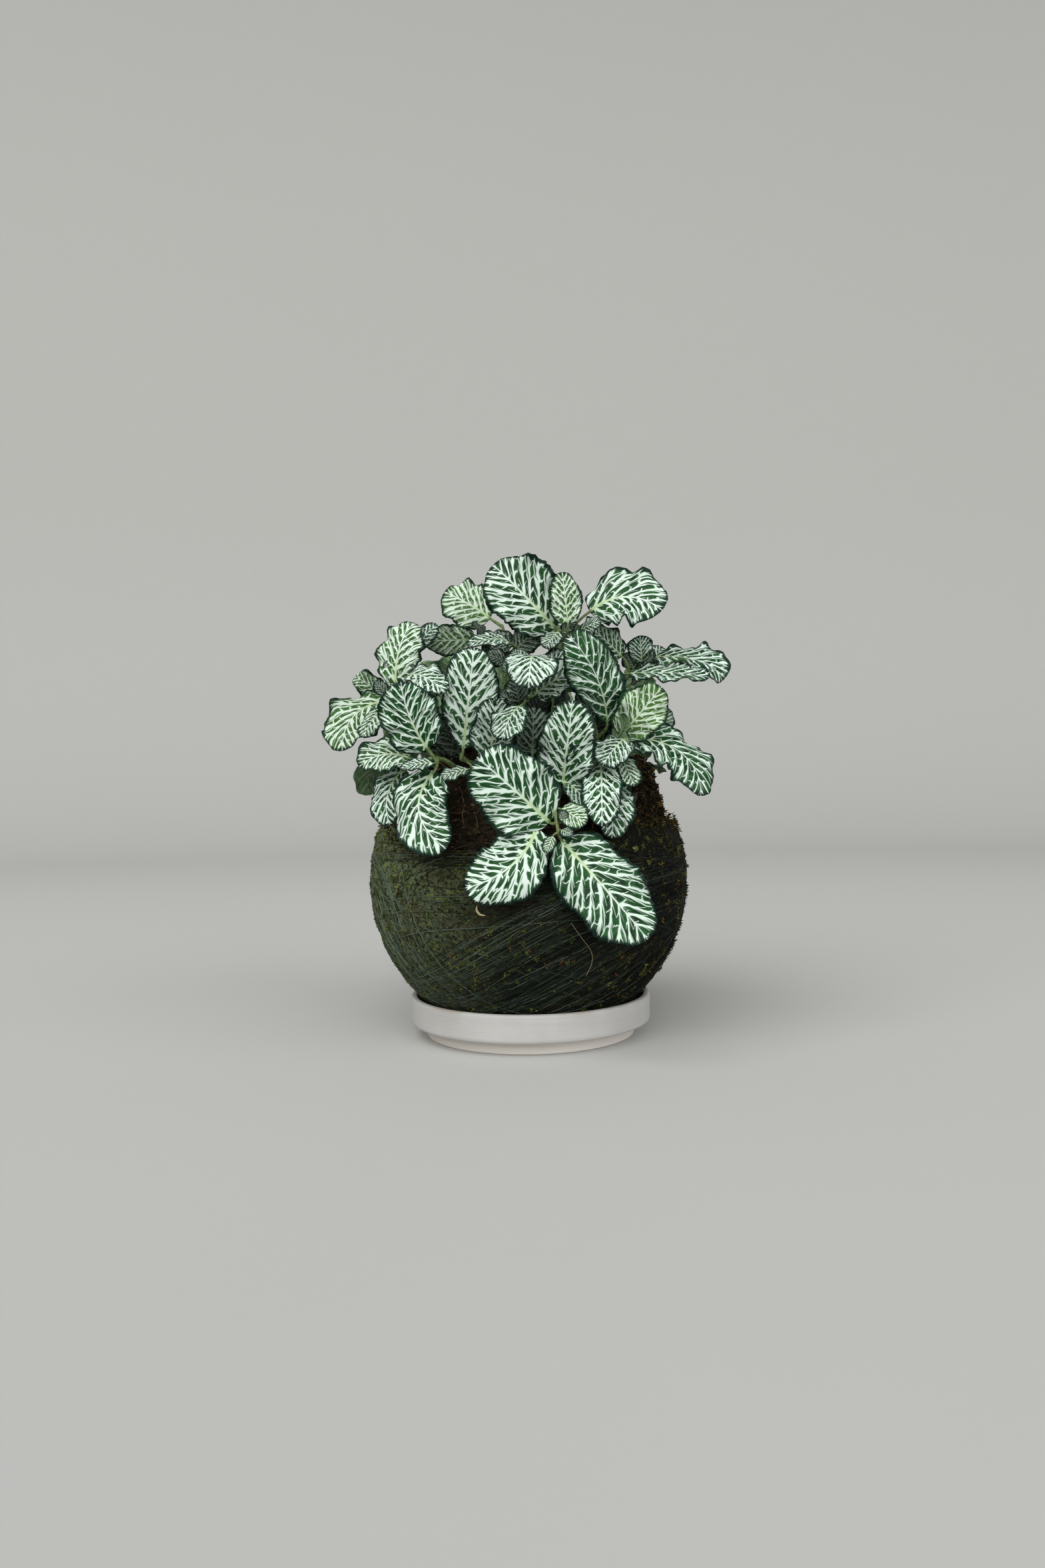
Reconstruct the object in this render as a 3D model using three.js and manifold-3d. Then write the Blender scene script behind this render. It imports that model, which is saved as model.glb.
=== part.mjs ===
// Kokedama: a nerve plant (fittonia) growing from a ball of soil that is wrapped in moss, bound round
// and round with thread, and stood in a small ceramic saucer.
// Millimetres, +Z up. The origin is the centre of the saucer's underside; -Y is the front.
import * as THREE from 'three';
import { mergeVertices } from 'three/addons/utils/BufferGeometryUtils.js';
import Module from 'manifold-3d';

const wasm = await Module();
wasm.setup();

// Driving dimensions
const GAP = 0.3;
const BALL_RADIUS = 65;
const BALL_CENTRE = new THREE.Vector3(0, 0, 64);
const SAUCER_RADIUS = 49.5;
const SAUCER_HEIGHT = 16.7;
const SAUCER_FLOOR = 4;
const SAUCER_WALL = 2.7;
const FOOT_RADIUS = 42.9;
const FOOT_HEIGHT = 5.2;
const WRAP_THICKNESS = 3.1;
const SOIL_RADIUS = 60.5;
const SOIL_TOP = 118;
const THREAD_WIDTH = 1.3;
const STEM_WIDTH = 3;
const PETIOLE_WIDTH = 1.6;
const BLADE_THICKNESS = 0.7;
const BLADE_CLEAR_RADIUS = 67.7;

// The saucer's small edges: how far each is set in, and how far up or down it reaches
const SAUCER_SIDES = 32;
const FOOT_EDGE = 0.6;
const BAND_EDGE_INSET = 0.9;
const BAND_EDGE_START = 0.4;
const BAND_EDGE_END = 1.4;
const LIP_DROP = 1.1;
const LIP_OUTER_INSET = 0.8;
const LIP_INNER_INSET = 0.6;
const WELL_TAPER = 0.8;
const WELL_EDGE_RISE = 1.6;
const WELL_EDGE_INSET = 2.6;

// The moss wrap's ragged rim, in degrees down from the top and round from the right
const WRAP_SIDES = 32;
const RIM_ANGLE = 69;
const RIM_DIP = 7;
const RIM_DIP_AZIMUTH = -108;
const RIM_DIP_SPREAD = 0.06;
const RIM_WAVES = [
  { height: 1.6, count: 3, start: 1 },
  { height: 1.1, count: 7, start: 0 },
];
const RIM_EDGE = 0.02;

// The soil's rings, in degrees down from the top, and its fuller shoulder
const SOIL_SIDES = 24;
const SOIL_RINGS = [24, 36, 48, 60, 72, 90, 110, 130, 150];
const SHOULDER_SWELL = 7;
const SHOULDER_ANGLE = 46;
const SHOULDER_SPREAD = 13;
const SHOULDER_FALL = 4;

// The windings, in degrees: how steep they lie, and where they cross the ball's widest line
const THREAD_RIM_ANGLE = 77;
const THREAD_BASE_ANGLE = 152;
const SHALLOW_TILT = 33;
const SHALLOW_NODES = [18, 40];
const STEEP_TILT = 72;
const STEEP_NODES = [5, 65, 125];
const WINDING_STEPS = 28;
const WINDING_LIFT = 0.25;
const THREAD_FLATNESS = 0.8;

// How blades and petioles are shaped, mostly as shares of their length or width
const BLADE_FOOT_SHARE = 0.1;
const OVAL_SKEW = 0.8;
const OVAL_BLUNTNESS = 0.62;
const RIPPLE_HEIGHT = 0.05;
const RIPPLE_WAVES = 2.2;
const RIPPLE_WAVES_RANGE = 1.2;
const CUP_DEPTH = 0.16;
const FLAT_CUP = 0.35;
const HOOK_START = 0.62;
const PETIOLE_BEND = 0.45;
const PETIOLE_RINGS = [0, 0.55];
const LONG_BLADE = 21.5;
const SHORT_BLADE = 13.5;
const WIDE_BLADE = 16.5;

// The leafy stems. A stem is a line of points from the soil up. A leaf is the foot of its blade, its
// tip, the way its upper face looks, its width, how many degrees it arches, how far its midrib bows to
// one side as a share of its length, and how many degrees its tip hooks over.
const SHOOTS = [
  {
    name: 'shoot_far_left',
    stem: [[-25, -6, 108], [-40, -10, 127], [-52, -12, 137]],
    leaves: [
      [[-57, -12, 138], [-73, -24, 118], [-4, -8, 5], 22, 55, 0.15, 0],
      [[-58, -3, 140], [-70, -4, 148], [-3, -8, 4], 10, 30, 0, 90],
      [[-52, 4, 142], [-64, 8, 146], [-1, -6, 7], 9, 30, 0, 0],
      [[-57, -20, 135], [-64, -30, 123], [-3, -8, 4], 10, 30, 0, 0],
    ],
  },
  {
    name: 'shoot_left_upright',
    stem: [[-22, -14, 108], [-38, -22, 130], [-48, -30, 143]],
    leaves: [
      [[-51, -28, 144], [-43, -22, 168], [-4, -9, 2], 15, 35, -0.05, 40],
      [[-46, -39, 146], [-30, -54, 139], [0, -7, 7], 15, 75, 0, 0],
      [[-46, -24, 156], [-35, -18, 168], [1, -9, 2], 8, 20, 0, 0],
    ],
  },
  {
    name: 'shoot_left_low',
    stem: [[-20, -28, 104], [-30, -42, 113], [-35, -49, 115]],
    leaves: [
      [[-37, -51, 118], [-46, -59, 143], [-1, -9.5, 2.5], 23, 20, -0.06, 0],
      [[-35, -51, 110], [-30, -68, 82], [-2, -9, 4], 23, 35, 0.22, 0],
      [[-47, -42, 111], [-52, -51, 90], [-4, -8, 4], 16, 40, 0.12, 0],
      [[-44, -49, 115], [-63, -50, 112], [-2, -6, 7.5], 13, 30, 0.15, 0],
      [[-35, -54, 113], [-47, -58, 111], [-1, -7, 7], 7, 30, 0, 0],
    ],
  },
  {
    name: 'shoot_middle_left',
    stem: [[-12, -28, 106], [-20, -38, 112], [-25, -45, 114]],
    leaves: [
      [[-24, -47, 118], [-19, -50, 156], [0, -10, 1.5], 21, 15, 0, 0],
      [[-14, -47, 114], [-12, -51, 134], [1, -10, 1], 13, 15, 0, 0],
      [[-22, -49, 110.5], [-33, -53, 107], [0, -5, 8], 8, 20, 0, 0],
    ],
  },
  {
    name: 'shoot_front_low',
    stem: [[4, -38, 98], [8, -54, 100], [10, -62, 94], [11, -66, 87]],
    leaves: [
      [[4, -61, 92], [-19, -72, 115], [-1, -9.5, 3], 29, 20, 0, 0],
      [[3, -62, 88], [-23, -72, 68], [-1, -9.5, 2.5], 24, 25, -0.14, 0],
      [[12, -63, 84], [42, -76, 49], [1, -9.5, 2.5], 29, 22, 0, 0],
      [[12, -62, 95.5], [21, -67, 90], [0, -8.5, 5], 11, 30, 0, 0],
    ],
  },
  {
    name: 'shoot_front_middle',
    stem: [[10, -26, 106], [13, -40, 105], [19, -43, 108]],
    leaves: [
      [[13, -50, 102], [17, -61, 135], [0, -10, 1], 22, 20, 0, 0],
      [[28, -46, 112], [27, -64, 89], [0, -9, 4], 16, 40, 0, 0],
      [[33, -42, 106], [31, -57, 84], [1, -9, 3], 17, 30, 0, 0],
      [[13, -46, 101], [24, -54, 95], [0, -8, 5], 11, 20, 0, 0],
      [[2, -40, 111], [4, -42, 133], [0, -10, 1], 12, 20, 0, 0],
    ],
  },
  {
    name: 'shoot_centre',
    stem: [[0, -16, 110], [0, -28, 124], [-1, -40, 132], [1, -42, 148]],
    leaves: [
      [[3, -43, 153], [1, -58, 140], [0, -6, 8], 20, 90, 0, 0],
      [[3, -44, 137], [21, -39, 146], [0, -8, 6], 11, 30, 0, 0],
      [[-2, -52, 133], [-8, -60, 123], [-3, -7, 6], 13, 60, 0, 0],
      [[-2, -44, 132], [-10, -48, 139], [0, -8, 5], 9, 30, 0, 0],
      [[6, -37, 146], [17, -37, 154], [0, -8, 6], 11, 30, 0, 0],
    ],
  },
  {
    name: 'shoot_top_left',
    stem: [[-8, -4, 110], [-9, -8, 138], [-7, -12, 156], [-9, -3, 168]],
    leaves: [
      [[-14, 2, 173], [-32, 2, 178], [-1, -8, 5], 20, 30, 0, 0],
      [[-20, -12, 162], [-41, -14, 162], [0, -9, -2], 13, 20, 0, 0],
      [[-6, -34, 159], [-22, -42, 157], [0, -7, 7], 9, 60, 0, 0],
      [[-5, -16, 160], [-17, -14, 168], [0, -9, 4], 12, 10, 0, 0],
      [[-7, -25, 152], [-15, -28, 155], [0, -9, 4], 8, 10, 0, 0],
      [[-4, -19, 157], [6, -21, 166], [1, -9, 4], 12, 10, 0, 0],
    ],
  },
  {
    name: 'shoot_top',
    stem: [[6, -2, 110], [11, -12, 140], [14, -22, 160]],
    leaves: [
      [[12, -26, 165], [-12, -26, 190], [-0.5, -10, 1.5], 28, 20, 0, 25],
      [[17, -30, 166], [15, -32, 186], [0, -10, 1], 13, 15, 0, 0],
      [[26, -20, 172], [54, -28, 171], [1, -9, 4], 27, 35, -0.17, 0],
      [[13, -32, 163], [8, -38, 156], [-1, -7, 7], 9, 30, 0, 0],
    ],
  },
  {
    name: 'shoot_middle_right',
    stem: [[14, -18, 108], [24, -32, 118], [30, -40, 124]],
    leaves: [
      [[31, -43, 127], [16, -51, 160], [0, -9.5, 3], 20, 20, 0.08, 15],
      [[26, -36, 128], [21, -38, 140], [0, -9, 3], 9, 10, 0, 0],
    ],
  },
  {
    name: 'shoot_right_upright',
    stem: [[22, -4, 108], [34, -10, 134], [42, -14, 147]],
    leaves: [
      [[39, -17, 154], [27, -20, 165], [0, -9.5, 3], 13, 10, 0, 0],
      [[47, -15, 151], [46, -19, 162], [0, -9.5, 3], 11, 10, 0, 0],
      [[48, -10, 149], [57, -6, 158], [1, -8, 5], 10, 10, 0, 0],
      [[52, -8, 154], [78, -22, 143], [1, -6, 8], 20, 40, 0, 60],
      [[41, -22, 147], [71, -36, 144], [0, -4.5, 9], 17, 15, 0, 0],
    ],
  },
  {
    name: 'shoot_right_middle',
    stem: [[20, -22, 106], [30, -34, 116], [36, -41, 120]],
    leaves: [
      [[36, -44, 122], [51, -50, 138], [2, -9.5, 2], 18, 15, 0, 0],
      [[39, -42, 121], [63, -52, 100], [4, -7, 6], 19, 45, -0.2, 20],
      [[37, -48, 121], [28, -57, 111], [-1, -8, 6], 15, 40, 0, 0],
      [[52, -20, 123], [57, -18, 133], [2, -9.5, 2], 10, 10, 0, 0],
      [[36, -41, 114], [40, -52, 103], [1, -9, 4], 10, 20, 0, 0],
    ],
  },
];

// The stems at the back are like the ones in front, turned about the middle of the ball and resized.
const BACK_SHOOTS = [
  { name: 'shoot_back_low', like: 'shoot_front_low', turn: 190, size: 0.97 },
  { name: 'shoot_back_middle', like: 'shoot_front_middle', turn: 190, size: 0.97 },
  { name: 'shoot_back_right_low', like: 'shoot_left_low', turn: 190, size: 0.97 },
  { name: 'shoot_back_left', like: 'shoot_right_middle', turn: 190, size: 0.97 },
  { name: 'shoot_back_upright', like: 'shoot_middle_left', turn: 190, size: 0.97 },
  { name: 'shoot_back_centre', like: 'shoot_centre', turn: 190, size: 0.97 },
  { name: 'shoot_back_middle_left', like: 'shoot_middle_right', turn: 190, size: 0.97 },
  { name: 'shoot_back_side', like: 'shoot_middle_left', turn: 138, size: 1 },
  { name: 'shoot_back_top_right', like: 'shoot_top_left', turn: 168, size: 0.84 },
  { name: 'shoot_back_top_left', like: 'shoot_top', turn: 198, size: 0.74 },
];

const toRadians = THREE.MathUtils.degToRad;

// Materials

function finish(colour, roughness) {
  return new THREE.MeshStandardMaterial({ color: colour, roughness, metalness: 0 });
}

const ceramicFinish = finish(0xded9d2, 0.7);
const mossFinish = finish(0x26301f, 0.95);
const soilFinish = finish(0x33241a, 0.95);
const threadFinish = finish(0x2c3a34, 0.7);
const leafFinish = finish(0x6f9a6c, 0.5);

// Closed meshes and solids

// A closed mesh from rows of points. Every row has as many points, going round; the first and the
// last row are closed with a fan about their middle.
function lidded(rows) {
  const around = rows[0].length;
  const positions = rows.flat().flatMap((point) => point.toArray());
  const index = [];
  for (let row = 0; row + 1 < rows.length; row += 1) {
    for (let step = 0; step < around; step += 1) {
      const a = row * around + step;
      const b = row * around + ((step + 1) % around);
      index.push(a, b, a + around, b, b + around, a + around);
    }
  }
  for (const [row, flip] of [[0, true], [rows.length - 1, false]]) {
    const middle = new THREE.Vector3();
    rows[row].forEach((point) => middle.addScaledVector(point, 1 / around));
    const hub = positions.length / 3;
    positions.push(...middle.toArray());
    for (let step = 0; step < around; step += 1) {
      const a = row * around + step;
      const b = row * around + ((step + 1) % around);
      index.push(...(flip ? [b, a, hub] : [a, b, hub]));
    }
  }
  return indexed(positions, index);
}

function indexed(positions, index) {
  const geometry = new THREE.BufferGeometry();
  geometry.setAttribute('position', new THREE.Float32BufferAttribute(positions, 3));
  geometry.setIndex(index);
  return geometry;
}

function solidOf(geometry) {
  const bare = geometry.clone();
  bare.deleteAttribute('normal');
  bare.deleteAttribute('uv');
  const merged = mergeVertices(bare, 1e-5);
  return new wasm.Manifold(new wasm.Mesh({
    numProp: 3,
    vertProperties: new Float32Array(merged.attributes.position.array),
    triVerts: new Uint32Array(merged.index.array),
  }));
}

function geometryOf(solid) {
  const mesh = solid.getMesh();
  return indexed(Array.from(mesh.vertProperties), Array.from(mesh.triVerts));
}

// The largest piece of a solid, so that no cut-off scrap is left beside it.
function largestPiece(solid) {
  const pieces = solid.decompose();
  return pieces.reduce((best, piece) => (piece.volume() > best.volume() ? piece : best));
}

function fused(solids) {
  return solids.reduce((whole, solid) => whole.add(solid));
}

// Saucer: a dish with a straight band, a softened lip and a narrower foot

function saucerGeometry() {
  const inside = SAUCER_RADIUS - SAUCER_WALL;
  const profile = [
    [0, 0],
    [FOOT_RADIUS - FOOT_EDGE, 0],
    [FOOT_RADIUS, FOOT_EDGE],
    [FOOT_RADIUS, FOOT_HEIGHT],
    [SAUCER_RADIUS - BAND_EDGE_INSET, FOOT_HEIGHT + BAND_EDGE_START],
    [SAUCER_RADIUS, FOOT_HEIGHT + BAND_EDGE_END],
    [SAUCER_RADIUS, SAUCER_HEIGHT - LIP_DROP],
    [SAUCER_RADIUS - LIP_OUTER_INSET, SAUCER_HEIGHT],
    [inside + LIP_INNER_INSET, SAUCER_HEIGHT],
    [inside, SAUCER_HEIGHT - LIP_DROP],
    [inside - WELL_TAPER, SAUCER_FLOOR + WELL_EDGE_RISE],
    [inside - WELL_EDGE_INSET, SAUCER_FLOOR],
    [0, SAUCER_FLOOR],
  ];
  const outline = profile.map(([radius, height]) => new THREE.Vector2(radius, height));
  return new THREE.LatheGeometry(outline, SAUCER_SIDES).rotateX(Math.PI / 2);
}

// Ball: the soil, the moss wrap round it and the thread

function onBall(radius, polar, azimuth) {
  const level = radius * Math.sin(polar);
  return new THREE.Vector3(level * Math.cos(azimuth), level * Math.sin(azimuth), radius * Math.cos(polar))
    .add(BALL_CENTRE);
}

// How far down from the top the moss wrap's ragged rim lies, by the way round. It dips at the front left.
function rimAngle(azimuth) {
  const away = 1 - Math.cos(azimuth - toRadians(RIM_DIP_AZIMUTH));
  const dip = RIM_DIP * Math.exp(-(away ** 2) / RIM_DIP_SPREAD);
  const waves = RIM_WAVES.map(({ height, count, start }) => height * Math.sin(count * azimuth + start));
  return toRadians(waves.reduce((sum, wave) => sum + wave, RIM_ANGLE) + dip);
}

// The soil: a ball with a flat top and bottom and a fuller shoulder at the right, over the wrap's rim.
function soilGeometry() {
  const bottom = SAUCER_FLOOR + GAP + WRAP_THICKNESS + GAP;
  const rows = SOIL_RINGS.map((angle) => Array.from({ length: SOIL_SIDES }, (_, step) => {
    const azimuth = (2 * Math.PI * step) / SOIL_SIDES;
    const shoulder = SHOULDER_SWELL * Math.exp(-SHOULDER_FALL * (1 - Math.cos(azimuth)));
    const swell = shoulder * Math.exp(-(((angle - SHOULDER_ANGLE) / SHOULDER_SPREAD) ** 2));
    const point = onBall(SOIL_RADIUS + swell, toRadians(angle), azimuth);
    point.z = Math.min(point.z, SOIL_TOP);
    point.z = Math.max(point.z, bottom);
    return point;
  }));
  return lidded(rows.reverse());
}

// The moss wrap: its outside from the flat underneath up to the rim, and its inside back down.
function wrapGeometry() {
  const steps = 6;
  const outer = BALL_RADIUS;
  const inner = BALL_RADIUS - WRAP_THICKNESS;
  const base = SAUCER_FLOOR + GAP;
  const flat = Math.acos((base - BALL_CENTRE.z) / outer);
  const innerFlat = Math.acos((base + WRAP_THICKNESS - BALL_CENTRE.z) / inner);
  const azimuths = Array.from({ length: WRAP_SIDES }, (_, step) => (2 * Math.PI * step) / WRAP_SIDES);
  const rows = [];
  for (let step = 0; step <= steps; step += 1) {
    const share = step / steps;
    rows.push(azimuths.map((azimuth) => {
      const polar = THREE.MathUtils.lerp(flat, rimAngle(azimuth) + RIM_EDGE, share);
      return onBall(outer, polar, azimuth);
    }));
  }
  rows.push(azimuths.map((azimuth) => onBall((outer + inner) / 2, rimAngle(azimuth), azimuth)));
  for (let step = 0; step <= steps; step += 1) {
    const share = step / steps;
    rows.push(azimuths.map((azimuth) => {
      const polar = THREE.MathUtils.lerp(rimAngle(azimuth) + RIM_EDGE, innerFlat, share);
      return onBall(inner, polar, azimuth);
    }));
  }
  return lidded(rows);
}

// The path of one winding: a tilted circle round the ball, with the poles squeezed away from the open
// top and the flat underneath, walked in even steps.
function windingPath(tilt, node) {
  const open = toRadians(THREAD_RIM_ANGLE);
  const shut = toRadians(THREAD_BASE_ANGLE);
  const fineSteps = 720;
  const samples = Array.from({ length: fineSteps + 1 }, (_, sample) => {
    const turn = (2 * Math.PI * sample) / fineSteps;
    const up = Math.sin(turn) * Math.sin(tilt);
    const azimuth = node + Math.atan2(Math.sin(turn) * Math.cos(tilt), Math.cos(turn));
    const polar = open + ((shut - open) * Math.acos(up)) / Math.PI;
    return onBall(1, polar, azimuth).sub(BALL_CENTRE);
  });
  const lengths = [0];
  for (let sample = 1; sample < samples.length; sample += 1) {
    lengths.push(lengths[sample - 1] + samples[sample].distanceTo(samples[sample - 1]));
  }
  const whole = lengths[lengths.length - 1];
  return Array.from({ length: WINDING_STEPS }, (_, step) => {
    const at = lengths.findIndex((length) => length >= (whole * step) / WINDING_STEPS);
    return samples[at].clone();
  });
}

// One winding, as a closed three-sided ring that lies with a flat side to the moss.
function windingSolid(tilt, node) {
  const path = windingPath(tilt, node);
  const underside = BALL_RADIUS + GAP + WINDING_LIFT;
  const positions = [];
  const index = [];
  path.forEach((out, step) => {
    const next = path[(step + 1) % WINDING_STEPS];
    const last = path[(step + WINDING_STEPS - 1) % WINDING_STEPS];
    const across = next.clone().sub(last).cross(out).normalize().multiplyScalar(THREAD_WIDTH / 2);
    const corners = [
      out.clone().multiplyScalar(underside).sub(across),
      out.clone().multiplyScalar(underside).add(across),
      out.clone().multiplyScalar(underside + THREAD_WIDTH * THREAD_FLATNESS),
    ];
    corners.forEach((corner) => positions.push(...corner.add(BALL_CENTRE).toArray()));
    for (let side = 0; side < 3; side += 1) {
      const a = step * 3 + side;
      const b = step * 3 + ((side + 1) % 3);
      const c = ((step + 1) % WINDING_STEPS) * 3 + side;
      const d = ((step + 1) % WINDING_STEPS) * 3 + ((side + 1) % 3);
      index.push(a, c, b, b, c, d);
    }
  });
  return solidOf(indexed(positions, index));
}

// The windings lie in two groups: shallow ones that climb to the right in front, and steep ones.
function threadSolid() {
  const shallow = SHALLOW_NODES.map((node) => windingSolid(toRadians(SHALLOW_TILT), toRadians(node)));
  const steep = STEEP_NODES.map((node) => windingSolid(toRadians(STEEP_TILT), toRadians(node)));
  return fused([...shallow, ...steep]);
}

// Leafy stems

// A number from 0 to 1 that depends on the leaf and on which trait it is for.
function trait(leafNumber, which) {
  const value = Math.sin(leafNumber * 12.9898 + which * 78.233) * 43758.5453;
  return value - Math.floor(value);
}

// The midrib seen from the side: heights and directions along it for a chord of length 1.
function midrib(archDegrees, hookDegrees) {
  const steps = 48;
  const turns = Array.from({ length: steps + 1 }, (_, step) => {
    const share = step / steps;
    const hook = Math.max(0, (share - HOOK_START) / (1 - HOOK_START)) ** 1.5;
    return toRadians(archDegrees) * (share - 0.5) + toRadians(hookDegrees) * hook;
  });
  const points = [[0, 0]];
  for (let step = 1; step <= steps; step += 1) {
    const [along, up] = points[step - 1];
    const ahead = (Math.cos(turns[step]) + Math.cos(turns[step - 1])) / 2;
    const drop = (Math.sin(turns[step]) + Math.sin(turns[step - 1])) / 2;
    points.push([along + ahead, up - drop]);
  }
  const [endAlong, endUp] = points[steps];
  const tilt = Math.atan2(endUp, endAlong);
  const size = Math.hypot(endAlong, endUp);
  const level = points.map(([along, up]) => [
    (along * Math.cos(tilt) + up * Math.sin(tilt)) / size,
    (up * Math.cos(tilt) - along * Math.sin(tilt)) / size,
  ]);
  return (share) => {
    const low = Math.min(steps - 1, Math.floor(share * steps));
    const part = share * steps - low;
    const between = (from, to) => from + (to - from) * part;
    return {
      along: between(level[low][0], level[low + 1][0]),
      up: between(level[low][1], level[low + 1][1]),
      turn: between(turns[low], turns[low + 1]) + tilt,
    };
  };
}

// The middle sheet of a blade, as a function of the share from foot to tip and of -1 to 1 across.
// Half its width is a broad oval that is blunt at both ends. A point that would be inside the ball is
// pressed out onto it.
function bladeSheet([foot, tip, face, width, arch, bow, hook], leafNumber) {
  const base = new THREE.Vector3(...foot);
  const chord = new THREE.Vector3(...tip).sub(base);
  const length = chord.length();
  const ahead = chord.clone().normalize();
  const up = new THREE.Vector3(...face).projectOnPlane(ahead).normalize();
  const side = ahead.clone().cross(up);
  const rib = midrib(arch, hook);
  const phases = [trait(leafNumber, 1) * 2 * Math.PI, trait(leafNumber, 2) * 2 * Math.PI];
  const waves = RIPPLE_WAVES + RIPPLE_WAVES_RANGE * trait(leafNumber, 3);
  const cup = CUP_DEPTH * (trait(leafNumber, 4) - FLAT_CUP);
  return (share, across) => {
    const oval = Math.sin(Math.PI * share ** OVAL_SKEW) ** OVAL_BLUNTNESS;
    const half = (width / 2) * (BLADE_FOOT_SHARE + (1 - BLADE_FOOT_SHARE) * oval);
    const lean = Math.atan(4 * bow * (1 - 2 * share));
    const { along, up: height, turn } = rib(share);
    const phase = across < 0 ? phases[0] : phases[1];
    const wave = Math.sin(share * waves * 2 * Math.PI + phase) * Math.sin(Math.PI * share) ** 0.5;
    const ripple = RIPPLE_HEIGHT * width * wave;
    const lift = cup * half * across ** 2 + ripple * Math.abs(across) ** 3;
    const point = base.clone()
      .addScaledVector(side, 4 * bow * share * (1 - share) * length + half * across * Math.cos(lean))
      .addScaledVector(ahead, along * length - half * across * Math.sin(lean) + lift * Math.sin(turn))
      .addScaledVector(up, height * length + lift * Math.cos(turn));
    const out = point.clone().sub(BALL_CENTRE);
    if (out.length() < BLADE_CLEAR_RADIUS) {
      point.copy(out.setLength(BLADE_CLEAR_RADIUS).add(BALL_CENTRE));
    }
    return point;
  };
}

// The place on the stem, above its lowest third, that a petiole leaves from: near the blade's foot, and
// behind it, so that the petiole runs on into the blade without turning back.
function budPlace(stemCurve, foot, ahead) {
  const nearness = 1.6;
  const effort = (place) => nearness * place.distanceTo(foot) - foot.clone().sub(place).dot(ahead);
  const places = stemCurve.getSpacedPoints(24).slice(9);
  return places.reduce((best, place) => (effort(place) < effort(best) ? place : best));
}

// A leaf: its petiole from the stem, then the sheet with half the blade's thickness on either face. It is
// one skin of rings, split alike on both faces. The petiole's rings are turned as little as can be.
function leafSolid(sheet, width, stemCurve, extra) {
  const rows = 3 + Number(width > SHORT_BLADE) + Number(width > LONG_BLADE);
  const columns = width > WIDE_BLADE ? 4 : 2;
  const thickness = BLADE_THICKNESS + 2 * extra;
  const foot = sheet(0, 0);
  const ahead = sheet(0.06, 0).sub(foot).normalize();
  const bud = budPlace(stemCurve, foot, ahead);
  const bend = foot.clone().addScaledVector(ahead, -PETIOLE_BEND * bud.distanceTo(foot));
  const petiole = new THREE.QuadraticBezierCurve3(bud, bend, foot);
  let side = sheet(0, 1).sub(sheet(0, -1));
  const rings = PETIOLE_RINGS.toReversed().map((share) => {
    const middle = petiole.getPoint(share);
    const along = petiole.getTangent(share);
    side = side.clone().projectOnPlane(along).normalize();
    const up = side.clone().cross(along);
    return Array.from({ length: 2 * columns + 2 }, (_, corner) => {
      const angle = Math.PI * (1 - (corner + 0.5) / (columns + 1));
      const radius = PETIOLE_WIDTH / 2 + extra;
      return middle.clone()
        .addScaledVector(side, radius * Math.cos(angle))
        .addScaledVector(up, radius * Math.sin(angle));
    });
  }).reverse();
  const step = 0.02;
  for (let row = 0; row <= rows; row += 1) {
    const share = THREE.MathUtils.clamp(row / rows, step, 1 - step);
    const ring = [];
    for (let corner = 0; corner < 2 * columns + 2; corner += 1) {
      const over = corner <= columns;
      const across = (2 * (over ? corner : 2 * columns + 1 - corner)) / columns - 1;
      const along = sheet(share + step, across).sub(sheet(share - step, across));
      const wide = sheet(share, Math.min(1, across + step)).sub(sheet(share, Math.max(-1, across - step)));
      const normal = wide.cross(along).normalize();
      const lift = over ? thickness / 2 : -thickness / 2;
      ring.push(sheet(row / rows, across * (1 + (2 * extra) / width)).addScaledVector(normal, lift));
    }
    rings.push(ring);
  }
  return solidOf(ringSkin(rings, columns));
}

// The skin over a leaf's rings. Quads under the blade are split along the same line as those over it.
function ringSkin(rings, columns) {
  const around = 2 * columns + 2;
  const positions = rings.flat().flatMap((point) => point.toArray());
  const index = [];
  for (let ring = 0; ring + 1 < rings.length; ring += 1) {
    for (let corner = 0; corner < around; corner += 1) {
      const a = ring * around + corner;
      const b = ring * around + ((corner + 1) % around);
      const c = a + around;
      const d = b + around;
      if (corner <= columns) {
        index.push(a, b, d, a, d, c);
      } else {
        index.push(a, b, c, b, d, c);
      }
    }
  }
  for (let column = 0; column < columns; column += 1) {
    const [a, b, c, d] = [column, column + 1, around - 1 - column, around - 2 - column];
    index.push(b, a, c, b, c, d);
    const end = (rings.length - 1) * around;
    index.push(end + a, end + b, end + c, end + b, end + d, end + c);
  }
  return indexed(positions, index);
}

// A stem along a curve, as an extruded section with few sides.
function stalkSolid(curve, width) {
  const sides = 4;
  const section = new THREE.Shape();
  for (let side = 0; side < sides; side += 1) {
    const angle = (2 * Math.PI * side) / sides;
    const method = side === 0 ? 'moveTo' : 'lineTo';
    section[method]((width / 2) * Math.cos(angle), (width / 2) * Math.sin(angle));
  }
  section.closePath();
  return solidOf(new THREE.ExtrudeGeometry(section, { steps: 4, bevelEnabled: false, extrudePath: curve }));
}

// A leafy stem as one solid. With extra above zero, everything is that much thicker all round.
function shootSolid(shoot, firstLeaf, extra) {
  const stemCurve = new THREE.CatmullRomCurve3(shoot.stem.map((point) => new THREE.Vector3(...point)));
  const solids = [stalkSolid(stemCurve, STEM_WIDTH + 2 * extra)];
  shoot.leaves.forEach((leaf, number) => {
    const sheet = bladeSheet(leaf, firstLeaf + number);
    solids.push(leafSolid(sheet, leaf[3], stemCurve, extra));
  });
  return largestPiece(fused(solids));
}

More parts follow.
